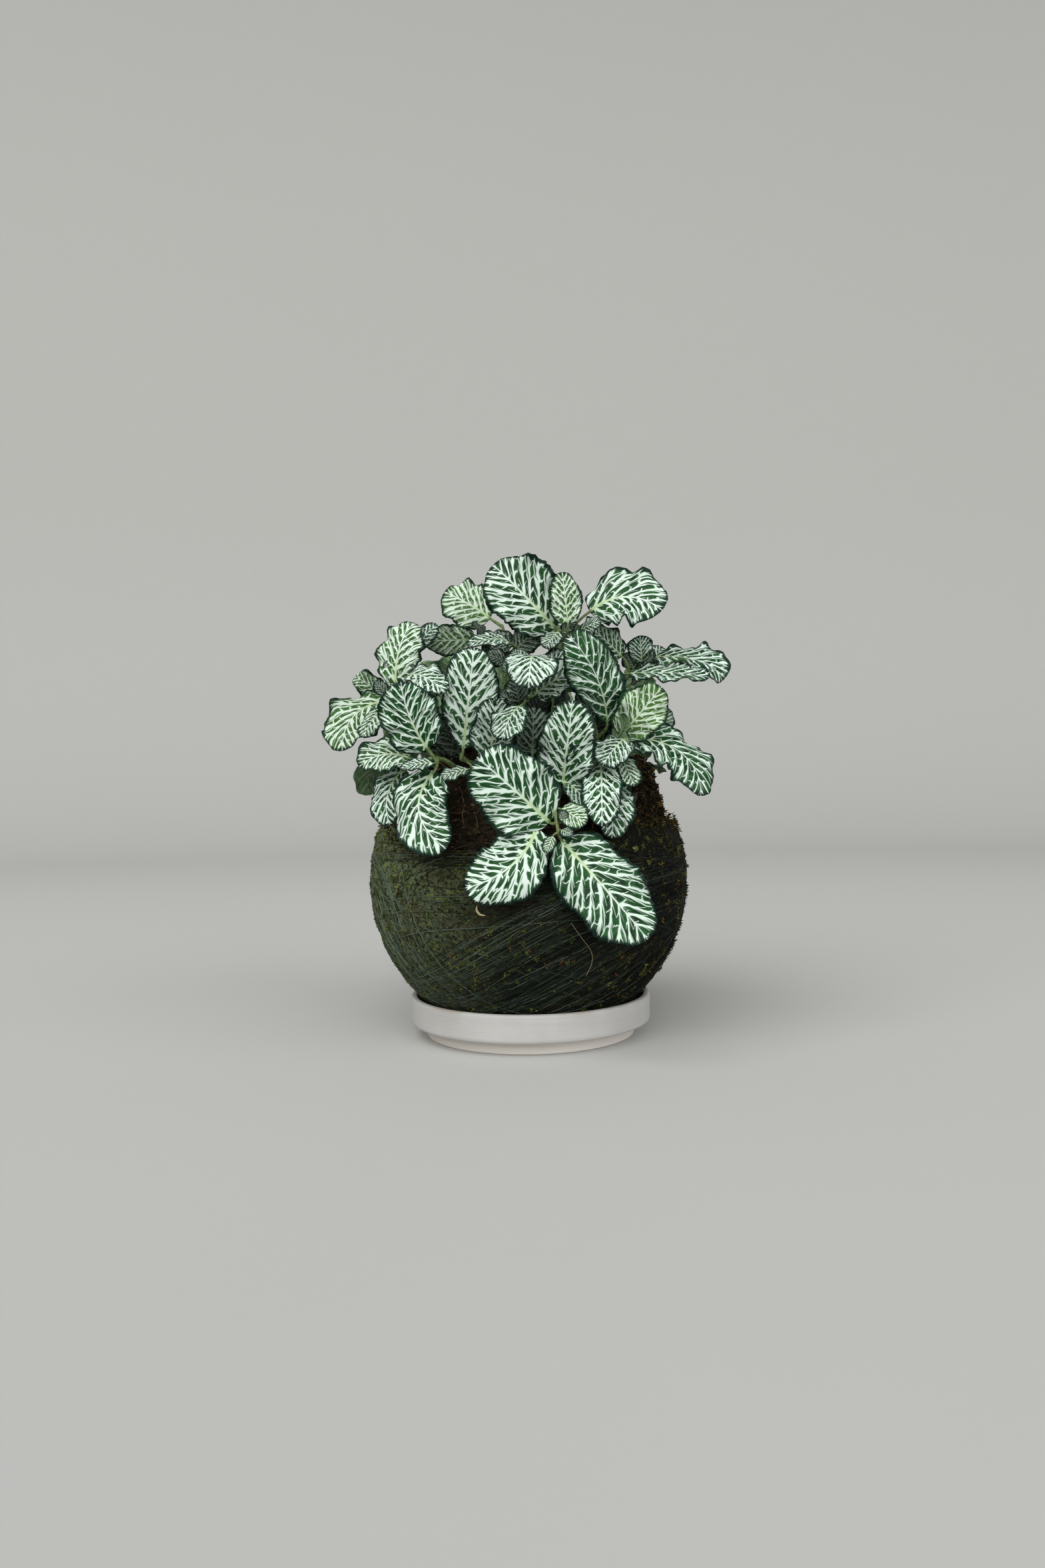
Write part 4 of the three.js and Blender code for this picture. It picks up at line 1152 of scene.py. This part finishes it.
def blade_sheet(leaf, number, rows, columns):
    """The sheet's points on a grid of rows from foot to tip and columns from margin to margin."""
    foot, tip, face = (np.array(point, float) for point in leaf[:3])
    width, arch, bow, hook = leaf[3:]
    share = np.linspace(0, 1, rows)[:, None]
    across = np.linspace(-1, 1, columns)[None]
    length = np.linalg.norm(tip - foot)
    ahead = (tip - foot) / length
    upward = unit(face - ahead * (face @ ahead))
    side = np.cross(ahead, upward)
    along, height, turn = midrib(arch, hook, share)
    half = half_width(width, share, number)
    lean = np.arctan(4 * bow * (1 - 2 * share))
    phase = np.where(across < 0, trait(number, 1), trait(number, 2)) * WAVE_TURN
    waves = 2.2 + 1.2 * trait(number, 3)
    cup = 0.20 * (trait(number, 4) - 0.62)
    middle = np.sin(np.pi * share) ** 0.5
    ripple = np.sin(share * waves * WAVE_TURN + phase) * width * RIPPLE_HEIGHT * middle
    frills = length / (4.6 + 1.5 * trait(number, 5))
    frill = np.sin(share * frills * WAVE_TURN + 2 * phase + 2 * across) * width * FRILL_HEIGHT * middle
    teeth = np.sin(share * frills * 11.3 + phase) + np.sin(share * frills * 17.9 + 3 * phase)
    uneven = np.sin(share * (8 + 5 * trait(number, 13)) + 2 * phase)
    scallop = 1 + (0.017 * teeth + 0.075 * uneven) * np.abs(across) ** 3
    reach = half * across * scallop
    turned = np.where(across < 0, trait(number, 9), trait(number, 10))
    spot = np.where(across < 0, 0.35 + 0.5 * trait(number, 11), 0.35 + 0.5 * trait(number, 12))
    flare = (turned - 0.55) * FLARE_HEIGHT * width * np.exp(-(((share - spot) / 0.14) ** 2))
    groove = 0.35 * np.exp(-((reach / 1.1) ** 2)) * (1 - 0.7 * share) * min(1, width / 20)
    lift = cup * half * across ** 2 + (ripple + flare) * np.abs(across) ** 3
    lift = lift + frill * np.abs(across) ** 5 - groove
    out = 4 * bow * share * (1 - share) * length + reach * np.cos(lean)
    on = along * length - reach * np.sin(lean) + lift * np.sin(turn)
    above = height * length + lift * np.cos(turn)
    points = foot + out[..., None] * side + on[..., None] * ahead + above[..., None] * upward
    away = points - BALL_CENTRE
    reach_out = np.linalg.norm(away, axis=-1, keepdims=True)
    return BALL_CENTRE + away * np.maximum(1, BLADE_CLEAR_RADIUS / reach_out)


def vein_map(leaf, number, rows, columns):
    """For each point of the blade: which side veins it lies between, its share of the way out, and its
    distance from the margin in widths of the dark edge. The side veins leave the midrib aslant, more
    and more so towards the tip."""
    length = np.linalg.norm(np.array(leaf[1], float) - np.array(leaf[0], float))
    width = leaf[3]
    share = np.linspace(0, 1, rows)[:, None]
    across = np.linspace(-1, 1, columns)[None]
    half = half_width(width, share, number)
    out = np.abs(half * across)
    along = share * length + 0 * across
    start = (along - 0.72 * out + 0.1 * out ** 2 / width) / (1 + 0.95 * out / length)
    veins = 6.3 + 0.075 * length
    from_side = half * (1 - np.abs(across))
    from_tip = (1 - share) * length + 0 * across
    edge = np.minimum(from_side, from_tip) / (0.5 + 0.02 * width)
    return np.stack([veins * start / length, out / (width / 2), edge], -1)


# %% [markdown]
# The white net of veins is what the plant is known for. It is drawn by sums on the vein map: white
# bands follow the side veins and fork on the way out, and twigs leave each band on both sides, slanting
# outwards and thinner as they go. Where they meet they melt together and cut the green into islands,
# and all taper to points in the dark margin. Noise bends all of it a little. A painted picture could
# hold such a net too, but sums stay sharp at any size and differ from leaf to leaf.

# %% Leaf materials
# For each fork of a side vein: how far it bends away, in spaces between veins, where on the way out the
# bend starts and ends, half its width, and from where it is drawn.
FORKS = [(0.50, 0.08, 0.85, 0.092, 0.08), (-0.25, 0.42, 1.10, 0.074, 0.40), (0.25, 0.46, 1.10, 0.070, 0.44)]
MELTING_REACH = 0.2


def lines(value):
    """Distance of a running number from the middle of its own step."""
    return abs(value.sum_with("FRACT") - 0.5)


def stroke(value, half, presence):
    """How deep each place lies inside lines of the given half width, which fade where presence falls."""
    return half * presence - 0.05 * (1.0 - presence) - lines(value)


def vein_net(make, vein, out, edge, share, number, side, white):
    """How deep each place lies inside the white net: above 0 inside a vein, below 0 outside."""
    seat = number * 3.7 + side * 1.9
    bend = make.noise(make.vector(vein * 0.8, out * 1.6, seat), 1.0, 1.0)
    curl = make.noise(make.vector(vein * 1.3, out * 3.4, seat), 1.0, 1.0, 0.5)
    fray = make.noise(make.vector(vein * 2.6, out * 7.0, seat), 1.0, 1.0, 0.5)
    vein = vein + (bend - 0.5) * 0.9 + (curl - 0.5) * 0.5 + (fray - 0.5) * 0.16
    row = vein.sum_with("FLOOR")
    chance = make.chance((vein + 0.5).sum_with("FLOOR"), seat)
    twig = make.chance(row, seat + 5.0)
    full = (0.56 + 0.52 * white) * (0.86 + 0.28 * curl)
    foot = (1.0 - out.ramp(0.0, 0.35)) * 0.05
    near = (edge + (fray - 0.5) * 2.0).ramp(0.0, 2.0)
    first = out + (chance - 0.5) * 0.22
    parts = [stroke(vein, (0.158 - 0.07 * out) * full + foot, near)]
    for shift, start, end, half, shown in FORKS:
        bent = vein - shift * first.ramp(start, end)
        parts.append(stroke(bent, half * full, near * first.ramp(shown, shown + 0.16)))
    apart = vein - row - 0.5
    aside = abs(apart)
    steps = out * (3.3 + 1.5 * twig) - aside * (0.9 + 1.0 * twig) + twig * 9.0
    steps = steps + apart.sum_with("GREATER_THAN", 0.0) * 0.45 + (curl - 0.5) * 0.6
    parts.append(stroke(steps, (0.15 - 0.15 * aside) * full, (1.15 - out).ramp(0.05, 0.5) * near))
    rib = (0.050 - 0.035 * share) * (0.8 + 0.4 * white) - out
    depth = rib * 3.3
    for part in parts:
        depth = depth.melted(part, MELTING_REACH)
    return depth


def leaf_face_material(name, under=False):
    make = Maker(name)
    vein, out, edge = make.attribute("veins")
    number, white, youth = make.attribute("blade")
    youth = youth * youth
    share, side, shade = make.attribute("spine")
    depth = vein_net(make, vein, out, edge, share, number, side, white)
    net = depth.ramp(-0.03, 0.045)
    halo = depth.ramp(-0.15, 0.0) * edge.ramp(0.6, 2.0)
    place = make.place()
    mottle = make.noise(place, 260.0, 3.0)
    fine = make.noise(place, 1800.0, 2.0)
    near_foot = (1.0 - share.ramp(0.0, 0.55)) * (1.0 - out.ramp(0.02, 0.28))
    if under:
        green = make.blend(youth, tone(92, 124, 84), tone(136, 164, 96))
        pale = make.blend(youth, tone(142, 166, 132), tone(176, 196, 138))
        colour = make.blend(net * 0.75, green, pale)
        return make.finish(colour, 0.6, net, 0.25)
    island = make.blend(mottle.ramp(0.35, 0.65), tone(9, 40, 17), tone(27, 74, 31))
    island = make.blend(youth, island, tone(104, 150, 66))
    margin = make.blend(youth * 0.6, tone(11, 37, 27), tone(42, 84, 40))
    green = make.blend(edge.ramp(0.6, 2.2), margin, island)
    green = make.blend(halo * 0.5, green, make.blend(youth, tone(62, 108, 68), tone(132, 168, 84)))
    pale = make.blend(youth * 0.75, tone(205, 221, 210), tone(194, 216, 152))
    pale = make.blend(near_foot * 0.5, pale, tone(184, 208, 148))
    rib = (0.055 - out).ramp(0.0, 0.02) * (1.0 - share.ramp(0.1, 0.8))
    pale = make.blend(rib * 0.7, pale, tone(166, 192, 130))
    pale = make.blend(fine.ramp(0.4, 0.7) * 0.2, pale, tone(196, 212, 196))
    colour = make.blend(net, green, pale)
    # Painted shade: leaves deep inside the plant are painted darker.
    colour = make.blend(shade, colour, tone(9, 20, 12))
    relief = (1.0 - net) * 0.8 + mottle * 0.4 + fine * 0.08
    return make.finish(colour, 0.46 + 0.12 * mottle, relief, 0.22, **{"Specular IOR Level": 0.14})


def stem_material():
    make = Maker("green_stem")
    place = make.place()
    fine = make.noise(place, 700.0, 3.0)
    broad = make.noise(place, 70.0, 2.0)
    colour = make.blend(fine.ramp(0.3, 0.7), tone(72, 94, 50), tone(112, 134, 80))
    colour = make.blend(broad.ramp(0.5, 0.8) * 0.6, colour, tone(96, 92, 56))
    return make.finish(colour, 0.6, fine, 0.15)


LEAF_MATERIALS = [
    leaf_face_material("leaf_face"),
    leaf_face_material("leaf_underside", under=True),
    stem_material(),
]

# %% [markdown]
# Each blade gets an upper and a lower skin with a thin rim between them. Its petiole runs from the stem
# to the foot and on under the blade as the raised midrib. All of one stem's leaves and the stem itself
# are one piece, which stands for the stem's solid.

# %% Leaves and stems
FIRST_SMALL = 200
FIRST_FILLER = 400
FIRST_SPRIG_LEAF = 600
PLANT_HEART = np.array([0, -8, 122])
PLANT_REACH = np.array([76, 64, 66])
LEAF_LOOKS = {
    1: (0.75, 0.45), 5: (0.95, 0.4), 6: (0.9, 0.1), 8: (0.2, 0.0), 9: (0.4, 0.1), 13: (0.85, 0.1),
    14: (1.0, 0.1), 16: (0.35, 0.0), 17: (0.8, 0.05), 18: (0.15, 0.0), 20: (0.7, 0.1), 21: (0.7, 0.1),
    22: (0.55, 0.05), 25: (0.85, 0.05), 27: (0.7, 0.15), 30: (1.0, 0.5), 31: (0.6, 0.5), 36: (0.55, 0.1),
    37: (0.9, 0.45), 38: (0.6, 0.05), 40: (-0.25, 0.0), 42: (0.3, 0.25), 45: (0.35, 0.0), 46: (0.35, 0.0),
    47: (0.6, 0.6), 48: (0.0, 0.0), 49: (0.55, 0.0),
}


def leaf_look(number, width):
    """Whiteness and youth of a leaf: as listed, or drawn, with the small leaves younger."""
    drawn = 0.25 + 0.6 * trait(number, 6), max(0.0, 0.9 * trait(number, 7) - 0.35 - 0.02 * (width - 10))
    return LEAF_LOOKS.get(number, drawn)


def blade_skins(leaf, number):
    """Points, faces, face kinds and attributes of one blade: upper skin, lower skin and rim."""
    length = np.linalg.norm(np.array(leaf[1], float) - np.array(leaf[0], float))
    rows = int(6 + 1.25 * length)
    columns = 2 * int(2 + 0.68 * leaf[3]) + 1
    sheet = blade_sheet(leaf, number, rows, columns)
    normal = unit(np.cross(np.gradient(sheet, axis=1), np.gradient(sheet, axis=0)))
    veins = vein_map(leaf, number, rows, columns)
    thin = np.minimum(1, 0.25 + veins[..., 2:])
    points = np.concatenate([
        (sheet + normal * thin * BLADE_THICKNESS / 2).reshape(-1, 3),
        (sheet - normal * thin * BLADE_THICKNESS / 2).reshape(-1, 3),
    ])
    count = rows * columns
    over = grid_faces(rows, columns)[:, ::-1]
    under = over[:, ::-1] + count
    grid = np.arange(count).reshape(rows, columns)
    ring = np.concatenate([grid[0, :-1], grid[:-1, -1], grid[-1, :0:-1], grid[:0:-1, 0]])
    ahead = np.roll(ring, -1)
    rim = np.stack([ring, ahead, ahead + count, ring + count], -1)
    kinds = np.concatenate([np.zeros(len(over)), np.ones(len(under)), np.zeros(len(rim))])
    white, youth = leaf_look(number, leaf[3])
    share = np.repeat(np.linspace(0, 1, rows), columns)
    side = np.tile(np.sign(np.linspace(-1, 1, columns)), rows)
    blade = np.broadcast_to([number, white, youth], (count, 3))
    # Painted shade: leaves deep inside the plant and the hidden filler leaves are painted darker.
    heart = (sheet.reshape(-1, 3) - PLANT_HEART) / PLANT_REACH
    deep = np.clip((0.85 - np.linalg.norm(heart, axis=1)) / 0.4, 0, 1)
    shade = np.minimum(0.92, 0.75 * deep + 0.45 * (FIRST_FILLER < number < FIRST_SPRIG_LEAF))
    spine = np.stack([share, side, shade], -1)
    looks = [np.concatenate([values, values]) for values in (veins.reshape(-1, 3), blade, spine)]
    return points, [over, under, rim], kinds, looks, sheet


def bud_place(stem, foot, ahead):
    """The place on the stem that the petiole leaves from: near the foot and behind it."""
    reach = foot - stem
    effort = 1.6 * np.linalg.norm(reach, axis=1) - reach @ ahead
    return stem[np.argmin(effort)]


def petiole_tube(stem, sheet, width):
    """The petiole, and the midrib under the blade."""
    middle = sheet[:, sheet.shape[1] // 2]
    foot = middle[0]
    ahead = unit(middle[2] - foot)
    bud = bud_place(stem, foot, ahead)
    bend = foot - ahead * 0.45 * np.linalg.norm(foot - bud)
    share = np.linspace(0, 1, 12)[:, None]
    petiole = bud * (1 - share) ** 2 + 2 * bend * share * (1 - share) + foot * share ** 2
    normal = unit(np.cross(np.gradient(sheet, axis=1), np.gradient(sheet, axis=0)))[:, sheet.shape[1] // 2]
    under = (middle - normal * 0.3)[2:-3:2]
    path = np.concatenate([petiole[:-1], under])
    size = min(1.0, 0.45 + width / 32)
    radii = size * np.concatenate([
        np.linspace(1.05, 0.75, len(petiole) - 1),
        np.linspace(0.7, 0.12, len(under)),
    ]) * PETIOLE_RADIUS
    return tube(path, radii, 6, sheet[0, -1] - sheet[0, 0])


def grown(stem, numbered, radius):
    """Blocks, face kinds and attribute layers of a stem and its numbered leaves."""
    rooted = np.concatenate([[stem[0] + unit(stem[0] - stem[1]) * 4], stem])
    taper = np.linspace(1.0, 0.5, len(stem)) * radius
    points, faces = tube(rooted, np.concatenate([[radius], taper]), 8)
    blocks = [(points, faces)]
    kinds = [np.full(sum(len(block) for block in faces), 2)]
    looks = [[np.zeros((len(points), 3))] for _ in range(3)]
    upper = stem[len(stem) * 9 // 25:]
    for number, leaf in numbered:
        skin, skin_faces, skin_kinds, skin_looks, sheet = blade_skins(leaf, number)
        stalk, stalk_faces = petiole_tube(upper, sheet, leaf[3])
        blocks += [(skin, skin_faces), (stalk, stalk_faces)]
        kinds += [skin_kinds, np.full(sum(len(block) for block in stalk_faces), 2)]
        for layer, values in zip(looks, skin_looks):
            layer += [values, np.zeros((len(stalk), 3))]
    return blocks, kinds, looks


def leaf_piece(name, growths):
    """One piece from one or more grown stems."""
    blocks, kinds, looks = [], [], [[], [], []]
    for some_blocks, some_kinds, some_looks in growths:
        blocks += some_blocks
        kinds += some_kinds
        for layer, more in zip(looks, some_looks):
            layer += more
    points, faces = joined(blocks)
    layers = dict(zip(("veins", "blade", "spine"), (np.concatenate(layer) for layer in looks)))
    return add_piece(name, points, faces, LEAF_MATERIALS, layers, np.concatenate(kinds))


def add_leafy_stem(shoot, first_number):
    """One piece from a stem and its leaves, for the stem's solid."""
    small = SMALL_LEAVES.get(shoot["name"], [])
    hidden = [] if "low" in shoot["name"] else filler_leaves(shoot, first_number)
    numbered = list(enumerate(shoot["leaves"], first_number))
    numbered += list(enumerate(small, FIRST_SMALL + first_number))
    numbered += list(enumerate(hidden, FIRST_FILLER + first_number))
    stem = curve_through(shoot["stem"], 25)
    piece = leaf_piece(shoot["name"].replace("shoot", "leafy_stem"), [grown(stem, numbered, STEM_RADIUS)])
    belongs(piece, "leaf", shoot["name"])


leaf_number = 1
for shoot in ALL_SHOOTS:
    add_leafy_stem(shoot, leaf_number)
    leaf_number += len(shoot["leaves"])

# %% [markdown]
# Between the front and the back stems the soil would be bare at either side. Young sprigs fill it: a
# short stem with a rosette of five small leaves, shaped by a seeded draw, at places that the front
# leaves hide.

# %% Young sprigs
SPRIG_LEAVES = 5
SPRIG_LEAF_TURN = 1.257
SPRIG_PLACES = [
    (-10, 33), (12, 38), (30, 34), (50, 40), (20, 24), (68, 36), (168, 36), (188, 40), (150, 34),
    (205, 34), (180, 24), (34, 46), (48, 30), (80, 44), (62, 48), (145, 44), (128, 38),
]


def sprig(place, number):
    """A short stem that leaves the soil at `place`, and its leaves."""
    draw = np.random.default_rng(number)
    out = unit(place - BALL_CENTRE)
    rise = unit(0.6 * out + (0, 0, 0.6) + 0.2 * draw.normal(size=3))
    top = place + rise * draw.uniform(9, 15)
    stem = curve_through([place - out, (place + top) / 2 + draw.normal(size=3), top], 12)
    first = unit(np.cross(rise, draw.normal(size=3)))
    second = np.cross(rise, first)
    leaves = []
    for turn in np.arange(SPRIG_LEAVES) * SPRIG_LEAF_TURN + draw.uniform(-0.25, 0.25, SPRIG_LEAVES):
        way = first * math.cos(turn) + second * math.sin(turn)
        foot = top + way * 2.5 + rise * draw.uniform(-2, 1)
        tip = foot + unit(way + rise * draw.uniform(0.0, 0.8)) * draw.uniform(11, 17)
        leaves.append([foot, tip, rise - 0.3 * way, draw.uniform(8, 11), draw.uniform(15, 50), 0, 0])
    return stem, leaves


def add_sprigs():
    """All the sprigs as one piece."""
    growths = []
    for number, (round_angle, down) in enumerate(SPRIG_PLACES):
        out = directions(np.radians(float(down)), np.radians(float(round_angle)))
        stem, leaves = sprig(soil_points(out), 80 + number)
        numbered = enumerate(leaves, FIRST_SPRIG_LEAF + SPRIG_LEAVES * number)
        growths.append(grown(stem, numbered, 0.5 * STEM_RADIUS))
    belongs(leaf_piece("young_sprigs", growths), "leaf")


add_sprigs()
